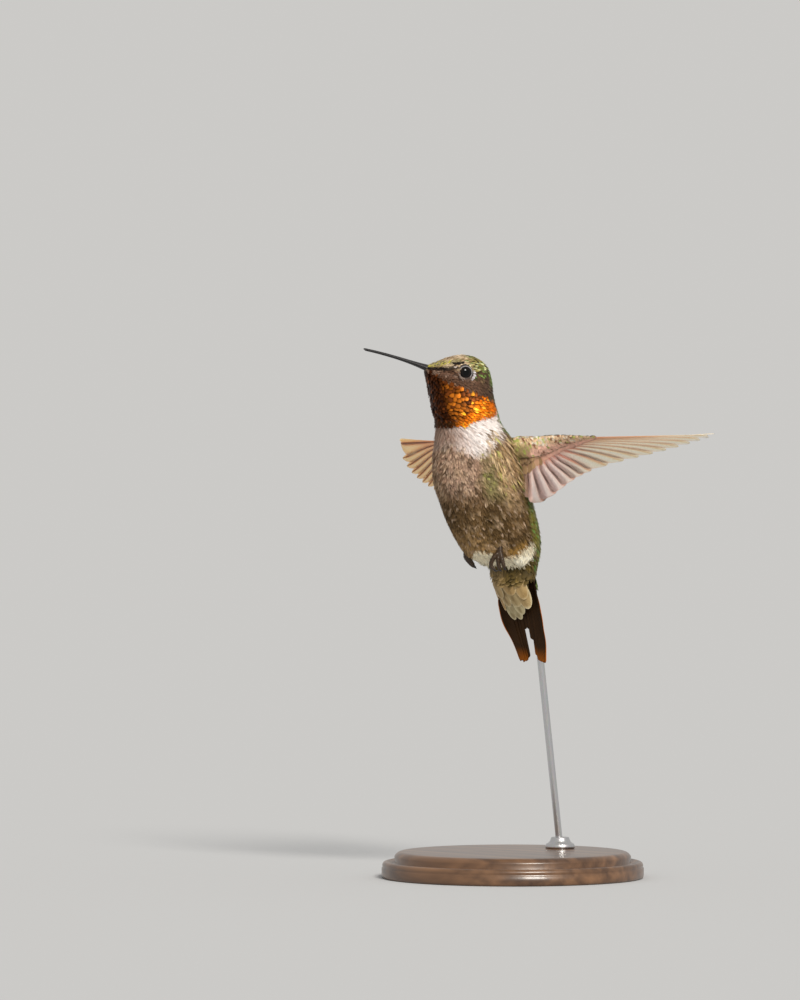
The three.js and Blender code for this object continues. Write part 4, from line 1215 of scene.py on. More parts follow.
u, v, root, shown = scatter(body_surface, (11.2, 17.97), (0, 2 * np.pi), head_spacing, rng, 5200, on_head,
                            0.65)
clear = away_from_eyes(root, 1.72)
u, v, root, shown = u[clear], v[clear], root[clear], shown[clear]
forward, _, height = head_frame(shown)
size = 0.95 + 0.42 * smooth(2.5, -4.0, forward) - 0.25 * smooth(6.0, 9.0, forward)
size = size + rng.normal(0, 0.07, len(u))
vanes = lay_feathers(body_surface, u, v, tailward(u, v, rng.normal(0, 8, len(u))), size, size * 0.5, rng,
                     columns=4, rows=4, ragged=0.15, sunk=0.28, proud=0.06, dome=0.05, tip=0.45)
tones = plumage(shown)
rear = smooth(2.0, -0.5, forward) * smooth(112.8, 114.2, height + 0.3 * forward)
for share, tint in ((0.3, colour(206, 208, 150)), (0.13, colour(112, 134, 66)), (0.2, colour(72, 60, 32))):
    strew(tones, rng, share * rear, tint)
strew(tones, rng, 0.30 * near_line(forward, height, (9.6, 117.0), (5.0, 117.7), 0.7), colour(196, 186, 84))
tones = feather_tones(vanes, tones, rng, 0.15, 0.0, 0.5)
gloss = 0.22 * smooth(0.4, 0.8, vanes["along"]) * (rear > 0.3)[vanes["feather"]]
coat_piece("head_feathers", vanes, tones, scale_plume, "head_plumage", body_unwrap(u, v), gloss)

# ---- Spots and lashes round the eye ----
# A white spot behind each eye, a pale V in front of it and a ring of the tiniest feathers that
# close over the lid's outer edge.
rng = np.random.default_rng(15)


def body_place(points):
    """The nearest place and angle on the body's surface to each point, from a fine search grid."""
    grid_u, grid_v = np.meshgrid(np.linspace(10, 18, 320), np.linspace(0, 2 * np.pi, 320), indexing="ij")
    samples = body_surface(grid_u.ravel(), grid_v.ravel(), 0.0)
    tree = kdtree.KDTree(len(samples))
    for number, sample in enumerate(samples.tolist()):
        tree.insert(sample, number)
    tree.balance()
    found = np.array([tree.find(point)[1] for point in points.tolist()])
    return grid_u.ravel()[found], grid_v.ravel()[found]


spots, tones = [], []
for mirror in mirrors.values():
    centre, look, ahead, up = eye_frame(mirror)
    for ring_reach, ring_count in ((1.74, 46), (1.92, 54)):
        turn = round_angles(ring_count) + rng.normal(0, 0.03, ring_count)
        ring = centre + 1.5 * look + ring_reach * (np.cos(turn)[:, None] * ahead + np.sin(turn)[:, None] * up)
        spots.append(ring)
        tone = painted(plumage(ring), 0.35, colour(120, 100, 88))
        behind = near_line(np.cos(turn), np.sin(turn), (-0.98, -0.05), (-0.8, -0.6), 0.5)
        front = near_line(np.cos(turn), np.sin(turn), (0.9, -0.3), (0.6, -0.8), 0.4)
        tone = painted(tone, behind * (0.95 if ring_reach > 1.8 else 0.5), colour(236, 232, 238))
        tones.append(painted(tone, front * 0.4, colour(176, 160, 150)))
    marks = ([4.55, 116.15], [4.75, 116.35], [4.95, 116.6], [4.35, 116.3], [4.2, 116.55])
    ring = np.array([turned_point(f, mirror * 4.4, z) for f, z in marks])
    spots.append(ring)
    tones.append(np.broadcast_to(colour(206, 190, 180), ring.shape))
spots, tones = np.concatenate(spots), np.concatenate(tones)
u, v = body_place(spots)
vanes = lay_feathers(body_surface, u, v, tailward(u, v, rng.normal(0, 14, len(u))), 0.5, 0.24, rng, columns=2,
                     rows=4, ragged=0.25, sunk=0.12, proud=0.14, dome=0.03, tip=0.45)
tones = feather_tones(vanes, tones, rng, 0.08, 0.0, 0.75)
coat_piece("eye_ring_feathers", vanes, tones, scale_plume, "head_plumage", body_unwrap(u, v),
           np.zeros(len(vanes["points"])))

# ---- Gorget ----
# The throat's stiff round scales, each a small mirror at its tip, the largest by the cheek: fiery
# orange at the side and below, near black in front, with a ragged fringe over the white collar. The fire
# and the near black are painted reflection of the iridescence over the scales' own colour.
gorget_plume = plume_material("gorget_plume", 0.5, 0.0, 0.07, 0.16, 0.25, metallic=True, specular=0.08)
rng = np.random.default_rng(16)


def on_gorget(points):
    """Inside the gorget's outline."""
    return in_gorget(points) > 0.5


def large_scales(points):
    """1 on the throat's upper side, where its scales are largest, 0 elsewhere."""
    share, turn = gorget_place(points)
    return smooth(0.30, 0.5, share) * smooth(34, 50, turn) * smooth(112, 92, turn)


u, v, root, shown = scatter(body_surface, (10.4, 17.97), (np.pi * 0.85, np.pi * 2.15),
                            lambda points: 0.56 + 0.26 * large_scales(points), rng, 2400, on_gorget, 1.3)
share, turn = gorget_place(shown)
large = large_scales(shown)
size = 1.2 + 0.35 * smooth(0.9, 0.3, share) + 0.45 * large + rng.normal(0, 0.08, len(u))
broad = 0.95 + 0.2 * smooth(0.9, 0.4, share) + 0.5 * large
vanes = lay_feathers(body_surface, u, v, tailward(u, v, 12 + rng.normal(0, 7, len(u))), size, broad, rng,
                     columns=6, rows=6, ragged=0.12, sunk=0.40, proud=0.16, dome=0.11, tip=0.5)
tones = gorget_colours(shown)
strew(tones, rng, 0.20 * smooth(60, 30, turn) + 0.42 * large, colour(112, 58, 20))
# Painted glints: bright orange scales towards the side.
strew(tones, rng, 0.14 * smooth(55, 85, turn), colour(252, 168, 44))
strew(tones, rng, 0.15, colour(0, 0, 0), 0.55)
strew(tones, rng, 0.03 * smooth(40, 60, turn) * smooth(0.75, 0.95, share), colour(238, 92, 56))
tones = feather_tones(vanes, tones, rng, 0.18, 0.0, 0.08)
rim = smooth(0.55, 1.0, vanes["edge"]) * smooth(0.3, 0.6, vanes["along"])
tones = tones * (1 - 0.8 * rim)[:, None]
gloss = 0.5 * smooth(0.45, 0.75, vanes["along"])
coat_piece("gorget_scales", vanes, tones, gorget_plume, "gorget", body_unwrap(u, v), gloss)

# rows of the fringe: degrees it reaches round to either side, feathers, height over the hem
fringe_rows = ((148, 250, 1.7), (147, 230, 1.25))
turn = np.radians(np.concatenate([np.linspace(-reach, reach, count) for reach, count, _ in fringe_rows]))
level = np.interp(np.degrees(np.abs(turn)), *gorget_hem)
level = level + np.concatenate([np.full(count, rise) for _, count, rise in fringe_rows])
spots = turned_point(0.6 + 9.0 * np.cos(turn), 9.0 * np.sin(turn), level)
u, v = body_place(spots)
vanes = lay_feathers(body_surface, u, v, tailward(u, v, 10 + rng.normal(0, 9, len(u))),
                     1.6 + rng.normal(0, 0.22, len(u)), 0.66, rng, fingers=3, columns=1, rows=5, split=0.5,
                     ragged=0.35, sunk=0.2, proud=0.28, wisp=0.2)
# The fringe's fire is painted reflection as on the scales, with brighter painted glints towards the side.
fire_glint = smooth(46, 62, np.degrees(np.abs(turn)))
tones = painted(colour(72, 44, 18), fire_glint, colour(220, 120, 24))
strew(tones, rng, 0.3 * fire_glint * smooth(110, 60, np.degrees(np.abs(turn))), colour(250, 190, 50))
tones = feather_tones(vanes, tones, rng, 0.18, 0.14, 0.3)
gloss = 0.4 * smooth(0.4, 0.7, vanes["along"])
coat_piece("gorget_fringe", vanes, tones, gorget_plume, "gorget", body_unwrap(u, v), gloss)

# ---- Vent and thigh down ----
# Loose white down that hangs from thighs and vent, the softest feathers on the bird, brown at the
# top of the thighs.
rng = np.random.default_rng(17)


def on_vent(points):
    """The band of body just above the tail's root, short of the green rump."""
    a = from_belly(points)
    return (a < 114) & (points[:, 2] < vent_top(points) + 0.4) & (points[:, 2] > vent_bottom(a))


u, v, root, shown = scatter(body_surface, (1.6, 4.9), (0, 2 * np.pi), 0.5, rng, 2200, on_vent, 1.2)
angle = from_belly(shown)
size = 2.0 + 0.5 * smooth(50, 80, angle) + rng.normal(0, 0.25, len(u))
vanes = lay_feathers(body_surface, u, v, tailward(u, v, rng.normal(0, 12, len(u))), size, 0.9, rng, fingers=5,
                     columns=1, rows=6, split=0.45, ragged=0.5, sunk=0.35, proud=0.45, wisp=0.25)
down = painted(colour(255, 242, 210), smooth(50, 80, angle), colour(226, 214, 186))
tones = painted(plumage(shown), 0.7, down)
tones = feather_tones(vanes, tones, rng, 0.06, 0.08, 0.85)
coat_piece("vent_down", vanes, tones, soft_plume, "white_tufts", body_unwrap(u, v))


def thigh_surface(mirror):
    """The thigh's oval, with places from its bottom (0) to its top (pi) and round it."""
    def surface(place, angle, swell):
        """A point of the oval, sunk under the tufts and grown by swell."""
        place, angle, swell = np.broadcast_arrays(place, angle, swell)
        swell = swell - thigh_sunk
        x = np.sin(place) * np.cos(angle) * (thigh_reach[0] + swell)
        y = np.sin(place) * np.sin(angle) * (thigh_reach[1] + swell)
        z = -np.cos(place) * (thigh_reach[2] + swell)
        c, s = math.cos(thigh_pitch), math.sin(thigh_pitch)
        return np.stack((x, c * y - s * z, s * y + c * z), -1) + thigh_place * (mirror, 1, 1)
    return surface


def on_thigh(points):
    """Outside the trunk's own coat, and above the tufts' slanting lower edge."""
    forward, height, side, _, front, _, _ = stations[:9].T
    middle, half, reach = (np.interp(points[:, 2], height, values) for values in (forward, side, front))
    y = points[:, 1] - neck_axis_y + middle
    across = np.abs(points[:, 0]) + points[:, 1]
    hem = np.interp(across, [-2.7, 2.2, 4.4, 5.7, 7.0], [70.6, 70.8, 72.0, 73.0, 74.6])
    return ((points[:, 0] / half) ** 2 + (y / reach) ** 2 > 0.8) & (points[:, 2] > hem)


for side, mirror in mirrors.items():
    surface = thigh_surface(mirror)
    u, v, root, shown = scatter(surface, (0.25, 2.9), (0, 2 * np.pi), 0.46, rng, 1100, on_thigh, 0.8)
    heading = np.column_stack((-np.ones(len(u)), rng.normal(0, 0.25, len(u))))
    vanes = lay_feathers(surface, u, v, heading, 1.9 + rng.normal(0, 0.3, len(u)), 0.9, rng, fingers=5,
                         columns=1, rows=6, split=0.4, ragged=0.55, sunk=0.4, proud=0.2, wisp=0.25)
    across = np.abs(shown[:, 0]) + shown[:, 1]
    edge = np.interp(across, [-2.7, -0.4, 2.8, 4.4, 6.3], [72.4, 73.4, 74.4, 75.9, 76.2])
    if side == "right":
        edge = np.interp(slantwise(shown), [-13.6, -12.8, -12.2, -9, -7], [69, 70.5, 74.6, 74.0, 73.6])
    above = shown[:, 2] - edge + 0.4 * mottle(shown, 1.0, 12)
    tones = painted(colour(252, 244, 222), smooth(-0.3, 0.3, above), colour(186, 138, 70))
    tones = painted(tones, smooth(1.0, 2.0, above), colour(122, 92, 54))
    tones = feather_tones(vanes, tones, rng, 0.08, 0.10, 0.72)
    sheet_left = 0.66 if side == "left" else 0.73
    sheet = np.column_stack((sheet_left + 0.05 * u / np.pi, 0.80 + 0.17 * v / (2 * np.pi)))
    coat_piece(f"thigh_tuft_{side}", vanes, tones, soft_plume, "white_tufts", sheet)

# ---- Undertail coverts ----
# Small dark olive feathers under the tail's root, three rows of longer ones, then the large ones
# with brown middles and pale edges, the longest half as long as the tail and right of its middle.
rng = np.random.default_rng(18)
vane_plume = plume_material("vane_plume", 0.65, 0.04, 0.12, 0.18, 0.3)


def on_undertail(points):
    """Under the tail's root, between the white down and the large coverts."""
    a = from_belly(points)
    return (a < 122) & (points[:, 2] < vent_bottom(a) + 0.4) & (points[:, 2] > 66.6)


def under_tail(along, across, swell):
    """The mound of coverts under the tail: highest at the root and in the middle."""
    t = np.clip((along - wedge_start) / 9.6, 0, 1)
    half = 6.3 - 1.0 * t
    mound = (5.2 * (1 - t) ** 1.05 + 0.1) * np.clip(1 - (across / half) ** 2, 0.0, 1) ** 0.7
    return tail_point(across, along, -0.55 - mound - swell)


def under_unwrap(along, across):
    """Unwrap of the mound under the tail, beside the body's."""
    return np.column_stack((0.68 + 0.1 * (along + 4) / 13, 0.02 + 0.3 * (across + 7) / 14))


def olive_tones(shown):
    """Dark olive with blotches, paler to the bird's right."""
    tone = painted(colour(98, 80, 38), smooth(-0.1, 0.4, mottle(shown, 1.5, 9)), colour(62, 50, 18))
    pale = smooth(-1.5, -4.0, slantwise(shown)) * smooth(71.0, 69.4, shown[:, 2])
    return painted(tone, pale * 0.75, colour(164, 138, 94))


u, v, root, shown = scatter(body_surface, (0.8, 3.6), (0, 2 * np.pi), 0.55, rng, 1800, on_undertail, 1.2)
size = np.minimum(1.9 + rng.normal(0, 0.15, len(u)), 2.4 * (u - 0.1))
vanes = lay_feathers(body_surface, u, v, tailward(u, v, rng.normal(0, 9, len(u))), size, 1.2, rng, fingers=4,
                     columns=1, rows=5, split=0.35, ragged=0.25, sunk=0.4, proud=0.18, wisp=0.1)
tones = feather_tones(vanes, olive_tones(shown), rng, 0.14, 0.10, 0.6, colour(148, 124, 80), 0.8)
coat_piece("undertail_small", vanes, tones, vane_plume, "undertail", body_unwrap(u, v))

middle_rows, in_row = 3, 14
count = middle_rows * in_row
across = np.tile(np.linspace(-5.3, 5.3, in_row), middle_rows) + np.repeat([0.0, 0.4, 0.0], in_row)
across = across + rng.normal(0, 0.15, count)
along = np.repeat([-4.5, -3.9, -3.2], in_row) - 1.1 * smooth(1.5, -2.5, across) + rng.normal(0, 0.2, count)
heading = np.column_stack((np.ones(count), rng.normal(0, 0.14, count)))
vanes = lay_feathers(under_tail, along, across, heading, 1.7 + rng.normal(0, 0.2, count), 1.3, rng, columns=8,
                     rows=10, ragged=0.2, sunk=0.5, proud=0.62, dome=0.1, tip=0.55)
shown = under_tail(along + 1.5, across, 0.0)
tones = feather_tones(vanes, olive_tones(shown), rng, 0.12, 0.10, 0.6, colour(158, 134, 90), 0.75)
coat_piece("undertail_middle", vanes, tones, vane_plume, "undertail", under_unwrap(along, across))

large_coverts = np.array([                  # tip along, across, length, width, proud, slant, grey, pale edge
    (8.6, -1.9, 8.4, 3.4, 0.10, 0.16, 1.0, 1.0), (8.6, -0.1, 8.4, 3.2, 0.14, 0.04, 1.0, 1.0),
    (7.2, 1.3, 8.0, 3.4, 0.08, 0.0, 0.9, 1.0), (5.8, -3.3, 8.4, 3.2, 0.20, 0.20, 0.1, 1.0),
    (4.9, 3.9, 8.4, 3.8, 0.28, 0.04, 0.35, 1.0), (4.5, 1.5, 8.0, 4.0, 0.34, 0.0, 0.5, 0.7),
    (2.6, -4.1, 7.2, 3.6, 0.36, 0.14, 0.0, 0.8), (2.4, 4.1, 6.8, 3.2, 0.38, 0.0, 0.25, 0.5),
    (2.2, -1.8, 6.8, 4.2, 0.46, 0.06, 0.3, 0.6), (0.8, 1.9, 5.6, 3.4, 0.48, 0.0, 0.2, 0.4),
    (4.6, -1.0, 8.2, 3.8, 0.30, 0.06, 0.4, 0.8),
])
tip, across, length, width, proud, slant, grey, edge = large_coverts.T
along = tip - length
heading = np.column_stack((np.ones(len(tip)), slant))
vanes = lay_feathers(under_tail, along, across - slant * length, heading, length, width, rng, columns=18,
                     rows=22, ragged=0.04, sunk=0.4, proud=proud, dome=0.14, tip=0.50)
tones = painted(colour(160, 124, 72), grey, colour(206, 194, 152))
tones = feather_tones(vanes, tones, rng, 0.08, 0.0, 0.8)
stain = mottle(vanes["points"], 1.2, 20)
tones = painted(tones, smooth(-0.1, 0.6, stain) * 0.5, colour(124, 98, 56))
heart = smooth(0.05, 0.5, vanes["along"]) * smooth(0.5, 0.0, vanes["edge"])
tones = painted(tones, heart * 0.4, colour(116, 94, 56))
border = np.maximum(smooth(0.70, 1.0, vanes["edge"]) * smooth(0.15, 0.5, vanes["along"]),
                    smooth(0.88, 1.0, vanes["along"]))
tones = painted(tones, border * edge[vanes["feather"]] * 0.75, colour(232, 218, 180))
coat_piece("undertail_large", vanes, tones, vane_plume, "undertail", under_unwrap(along, across))

# ---- Uppertail coverts ----
# Green feathers in seven rows that carry the rump's curve down onto the back of the tail and cover
# the roots of its feathers.
def over_tail(along, across, swell):
    """The back of the tail's root: the rump's own height at the top, down to the tail's plane."""
    hump = 2.6 * (1 - smooth(-2, 5, along)) * np.sqrt(np.clip(1 - (across / 5.0) ** 2, 0, 1))
    return tail_point(across, along, 0.35 + hump + swell)


rng = np.random.default_rng(23)
rows, in_row = 7, 9
count = rows * in_row
along = np.repeat(np.linspace(-2.2, 2.6, rows), in_row) + rng.normal(0, 0.12, count)
row = np.repeat(np.arange(rows), in_row)
across = (np.tile(np.linspace(-1, 1, in_row), rows) + 0.12 * (row % 2)) * (4.0 - 0.4 * row)
across = across + rng.normal(0, 0.1, count)
heading = np.column_stack((np.ones(count), 0.06 * across))
vanes = lay_feathers(over_tail, along, across, heading, 2.6 + 0.15 * row, 1.9, rng, columns=8, rows=8,
                     ragged=0.1, sunk=0.35, proud=0.15, dome=0.1, tip=0.5)
tones = colour(88, 104, 44) * (1 + rng.normal(0, 0.15, (count, 1)))
tones = feather_tones(vanes, tones, rng, 0.1, 0.0, 0.45, colour(120, 104, 62), 0.85)
gloss = 0.4 * smooth(0.45, 0.8, vanes["along"])
sheet = np.column_stack((0.70 + 0.06 * (along + 3) / 7, 0.45 + 0.3 * (across + 6) / 12))
coat_piece("uppertail_coverts", vanes, tones, scale_plume, "back_plumage", sheet, gloss)

# ---- Flight feathers ----
# Ten primaries and six secondaries in each wing, and two short brown feathers inside them. Each is
# a stiff tapering shaft with a narrow web before it and a broad one behind, under its neighbour.
primary_count = 10
secondary_count = 6
inner_count = 2
hand_share = 0.36                           # share of the covert line that the secondaries take up
primaries_from = 15.6                       # how far out the primaries begin on the wing's outline
secondaries_from = 4.4


def on_hand(number):
    """Where on the covert line a primary's edge begins, by its number outwards."""
    return covert_line(hand_share + (1 - hand_share) * number / primary_count)


def primary_edge(side, number, t):
    """One edge between primaries: from the covert line to the wing's outline, bowed backwards."""
    share = number / primary_count
    start = on_hand(number)
    out = primaries_from + (wing_length - primaries_from) * (1 - (1 - share) ** 1.35)
    end = (out, max(trailing_edge(side, out), leading_edge(out)))
    bow = 0.05 * (1 - share)
    return np.stack((start[0] + (end[0] - start[0]) * t + bow * (end[1] - start[1]) * np.sin(np.pi * t),
                     start[1] + (end[1] - start[1]) * t ** (1 + 0.5 * share)), -1)


def secondary_place(side, share, t):
    """A place among the secondaries: share outwards from the body, t from covert line to tip."""
    inner_x = covert_start + (secondaries_from - covert_start) * t
    edge_x = primary_edge(side, 0, t)[..., 0]
    across = inner_x + (edge_x - inner_x) * share
    start = covert_line(hand_share * np.clip(share, 0, 1))[1] + 0.3
    tip = trailing_edge(side, across) * (1.09 - 0.09 * smooth(0, 0.6, share))
    return np.stack((across, start + (tip - start) * t), -1)


def vane_rings(inner, shaft, outer, t, place, tilt, thick, shaft_radius):
    """Closed thin feather. inner, shaft and outer are planform curves along t. Points across go
    from the inner edge over the shaft to the outer edge above and back below; the shaft swells
    both faces, and the vane is tilted so that its inner web passes under its neighbour."""
    q = np.concatenate((np.linspace(-1, 0, 9)[:-1], np.linspace(0, 1, 5)))
    q = np.sign(q) * np.abs(q) ** 1.25
    q = np.concatenate(([-1, -0.975], q[1:-1], [0.96, 1]))
    web = np.where(q[None, :, None] < 0, shaft[:, None] + (-q[None, :, None]) * (inner - shaft)[:, None],
                   shaft[:, None] + q[None, :, None] * (outer - shaft)[:, None])
    taper = shaft_radius * (1 - 0.85 * t)[:, None]
    ridge = taper * np.exp(-(q[None] / 0.16) ** 2)
    half = thick / 2 * (1 - 0.6 * np.abs(q[None]) ** 3) + ridge
    middle = tilt * q[None] * smooth(0, 0.15, t)[:, None]
    above = place(web[..., 0], web[..., 1], middle + half)
    below = place(web[..., 0], web[..., 1], middle - half)
    rings = np.concatenate((above, below[:, ::-1]), axis=1)
    across = np.concatenate((q, q[::-1]))
    return rings, np.broadcast_to(across, rings.shape[:2]), np.broadcast_to(t[:, None], rings.shape[:2])


def tip_rounded(inner, outer, shaft, t, tip_start):
    """The three curves drawn together towards the tip, so that the feather ends in a round."""
    close = np.sqrt(np.clip(1 - (np.clip((t - tip_start) / (1 - tip_start), 0, 1)) ** 2, 0.03, 1))[:, None]
    return shaft + (inner - shaft) * close, shaft + (outer - shaft) * close


wing_plume = plume_material("wing_plume", 0.55, 0.0, 0.16, 0.12, 0.3, through=0.9)


def vane_shape(rings, tone, barb):
    """One closed feather from its rings, with colours and barb places, each also for its end points."""
    points, faces = closed_loft(rings)
    tone, barb = (np.concatenate((values.reshape(-1, 3), values[[0, -1]].mean(axis=1)))
                  for values in (tone, barb))
    return points, faces, tone, barb


def vane_piece(name, shapes, material, slot, replaced):
    """One object of one or more closed feathers with their colours and barb places."""
    points, faces = join_shapes([shape[:2] for shape in shapes])
    piece = new_piece(name, points, faces, material, slot, replaced)
    set_attribute(piece, "plume", "FLOAT_COLOR", np.concatenate([shape[2] for shape in shapes]))
    set_attribute(piece, "barb", "FLOAT_VECTOR", np.concatenate([shape[3] for shape in shapes]))


def wing_tones(side, out, q, t, number):
    """Pale webs with a pink band along each, mauve-brown inwards, browner at the leading edge, and
    a dark line along the shaft. The left wing's webs are painted far paler: painted light shining through
    them."""
    if side == "right":
        web, root, rim = colour(226, 158, 100), colour(208, 142, 90), colour(196, 138, 112)
        band, shaft, shaft_width, shaft_strength = colour(226, 186, 144), colour(84, 44, 28), 0.2, 0.95
    # Painted light: the left wing, seen from below, takes much paler web, root, rim and band, for the light
    # shining through its webs.
    else:
        web, root, rim = colour(255, 214, 176), colour(214, 150, 138), colour(206, 150, 132)
        band = painted(colour(255, 232, 200), smooth(16, 8, out), colour(244, 200, 188))
        shaft, shaft_width, shaft_strength = colour(190, 128, 104), 0.10, 0.4
    tone = painted(web, smooth(22, 8, out), root)
    tone = painted(tone, np.exp(-((q + 0.40) / 0.24) ** 2) * smooth(0.05, 0.3, t) * 0.8, band)
    tone = painted(tone, smooth(0.30, 0.0, t) * 0.35, colour(150, 92, 76))
    tone = painted(tone, smooth(-0.70, -1, q) * 0.6, rim)
    if number >= 7:                         # the outer primaries
        tone = painted(tone, (0.15 + 0.18 * (number - 7)) * smooth(0.85, 0.3, t), colour(176, 104, 70))
    if number < -secondary_count:           # the short inner feathers
        tone = painted(tone, 0.85, colour(104, 80, 60))
    if number == -secondary_count:          # the innermost secondary's dark tip
        tone = painted(tone, smooth(0.88, 0.95, t) * smooth(-0.4, 0.0, q) * 0.9, colour(70, 44, 38))
    return painted(tone, np.exp(-(q / shaft_width) ** 2) * shaft_strength, shaft)


def flight_shape(side, inner, shaft, outer, t, number, rng, tilt=0.08):
    """Shape, colours and barb places of one flight feather."""
    inner, outer = tip_rounded(inner, outer, shaft, t, 0.86)
    place = lambda out, down, rise: wing_point(side, out, down, rise)
    rings, q, along = vane_rings(inner, shaft, outer, t, place, tilt, 0.07, 0.15)
    out = np.broadcast_to(shaft[:, None, 0], q.shape)
    tone = wing_tones(side, out, q, along, number) * (1 + rng.normal(0, 0.03))
    reach = np.linalg.norm(shaft[-1] - shaft[0])
    inner_web = np.linalg.norm(inner - shaft, axis=1).max()
    outer_web = np.linalg.norm(outer - shaft, axis=1).max()
    across = np.where(q < 0, q * inner_web, q * outer_web)
    return vane_shape(rings, tone, barb_places(along * reach, across, 1.0, number * 3.7))


def reaching_back(curve, t):
    """The curve at t, carried straight on below t = 0 so that the quill starts inside the hand."""
    begin, soon = curve(np.array([0.0, 0.05]))
    return curve(np.clip(t, 0, 1)) + np.minimum(t, 0)[:, None] * (soon - begin) / 0.05


for side in mirrors:
    rng = np.random.default_rng(19)
    for number in range(1, primary_count + 1):
        middle = primary_edge(side, number - 0.5, np.array([0.0, 1.0]))
        into_hand = 0.45 * on_hand(number - 0.5)[1] + 0.15
        t = np.linspace(-into_hand / np.linalg.norm(middle[1] - middle[0]), 1, 46)
        inner_edge = reaching_back(lambda x: primary_edge(side, number - 1, x), t)
        outer_edge = reaching_back(lambda x: primary_edge(side, number, x), t)
        width = outer_edge - inner_edge
        shaft = inner_edge + 0.72 * width
        lap = 0.24 * smooth(0.02, 0.3, t) * (1 - 0.5 * smooth(0.72, 1.0, t))
        inner = inner_edge - lap[:, None] * width
        outer = outer_edge + 0.06 * width
        shape = flight_shape(side, inner, shaft, outer, t, number, rng)
        vane_piece(f"primary_{side}_{number}", [shape], wing_plume, "flight_feathers",
                   [f"wing_{side}_primary_{number}"])
    shapes = []
    for number in range(-inner_count, secondary_count):
        t = np.linspace(-0.22, 1, 40)
        low, high = number / secondary_count, (number + 1) / secondary_count
        shorter = 1 - 0.16 * max(0, -number)
        inner = secondary_place(side, low - 0.09 * smooth(0, 0.3, t), t * shorter)
        outer = secondary_place(side, high + 0.01 + 0 * t, t * shorter)
        shaft = inner + 0.74 * (outer - inner)
        shapes.append(flight_shape(side, inner, shaft, outer, t, number - secondary_count, rng, 0.10))
    vane_piece(f"secondaries_{side}", shapes, wing_plume, "flight_feathers", [f"wing_{side}_secondaries"])

# ---- Wing coverts ----
# Rows of small feathers over arm and hand: green scales on the back of the wing, buff and mauve
# ones below with white flecks along the leading edge, and a last long row over the quills' roots.
def arm_unwrap(side, u, v):
    """Unwrap of one arm, beside the body's."""
    left = 0.80 if side == "left" else 0.90
    up = 0.01 + 0.97 * ((v / (2 * np.pi)) % 1)
    return np.column_stack((left + 0.09 * (u - arm_start) / (arm_end - arm_start), up))


def wing_face(side, face):
    """The bare wing's back (face 1) or underside (face -1), with places out and down."""
    def surface(out, down, swell):
        """A point of that face, a little clear of the webs and lifted by swell."""
        return wing_point(side, out, down, face * (0.12 + swell))
    return surface


def covert_end(out):
    """How far down the chord the longest coverts reach."""
    return np.interp(out, [-1, 3, 5, 7.3, 10, 14, 18, 20], [9.4, 9.0, 7.4, 6.2, 5.2, 4.1, 2.0, 0.9])


def under_tones(out, down, rng):
    """Colours of the underwing coverts: buff and olive near the body, mauve-pink outwards, pale with
    white and dark flecks along the leading edge."""
    tone = painted(colour(190, 168, 118), smooth(3.0, 6.5, out + 0.5 * down), colour(240, 192, 170))
    edge = smooth(2.4, 0.9, down)
    tone = painted(tone, edge * 0.8, colour(246, 214, 172))
    for share, tint in ((0.14 * (1 - smooth(5, 9, out)), colour(186, 196, 104)),
                        (0.12 * edge, colour(196, 200, 112)),
                        (0.20 * edge, colour(246, 234, 214)), (0.12, colour(146, 98, 72))):
        strew(tone, rng, share, tint)
    return tone


def off_body(points):
    """Outside the body's own coat."""
    return np.abs(points[:, 0]) > 8.0


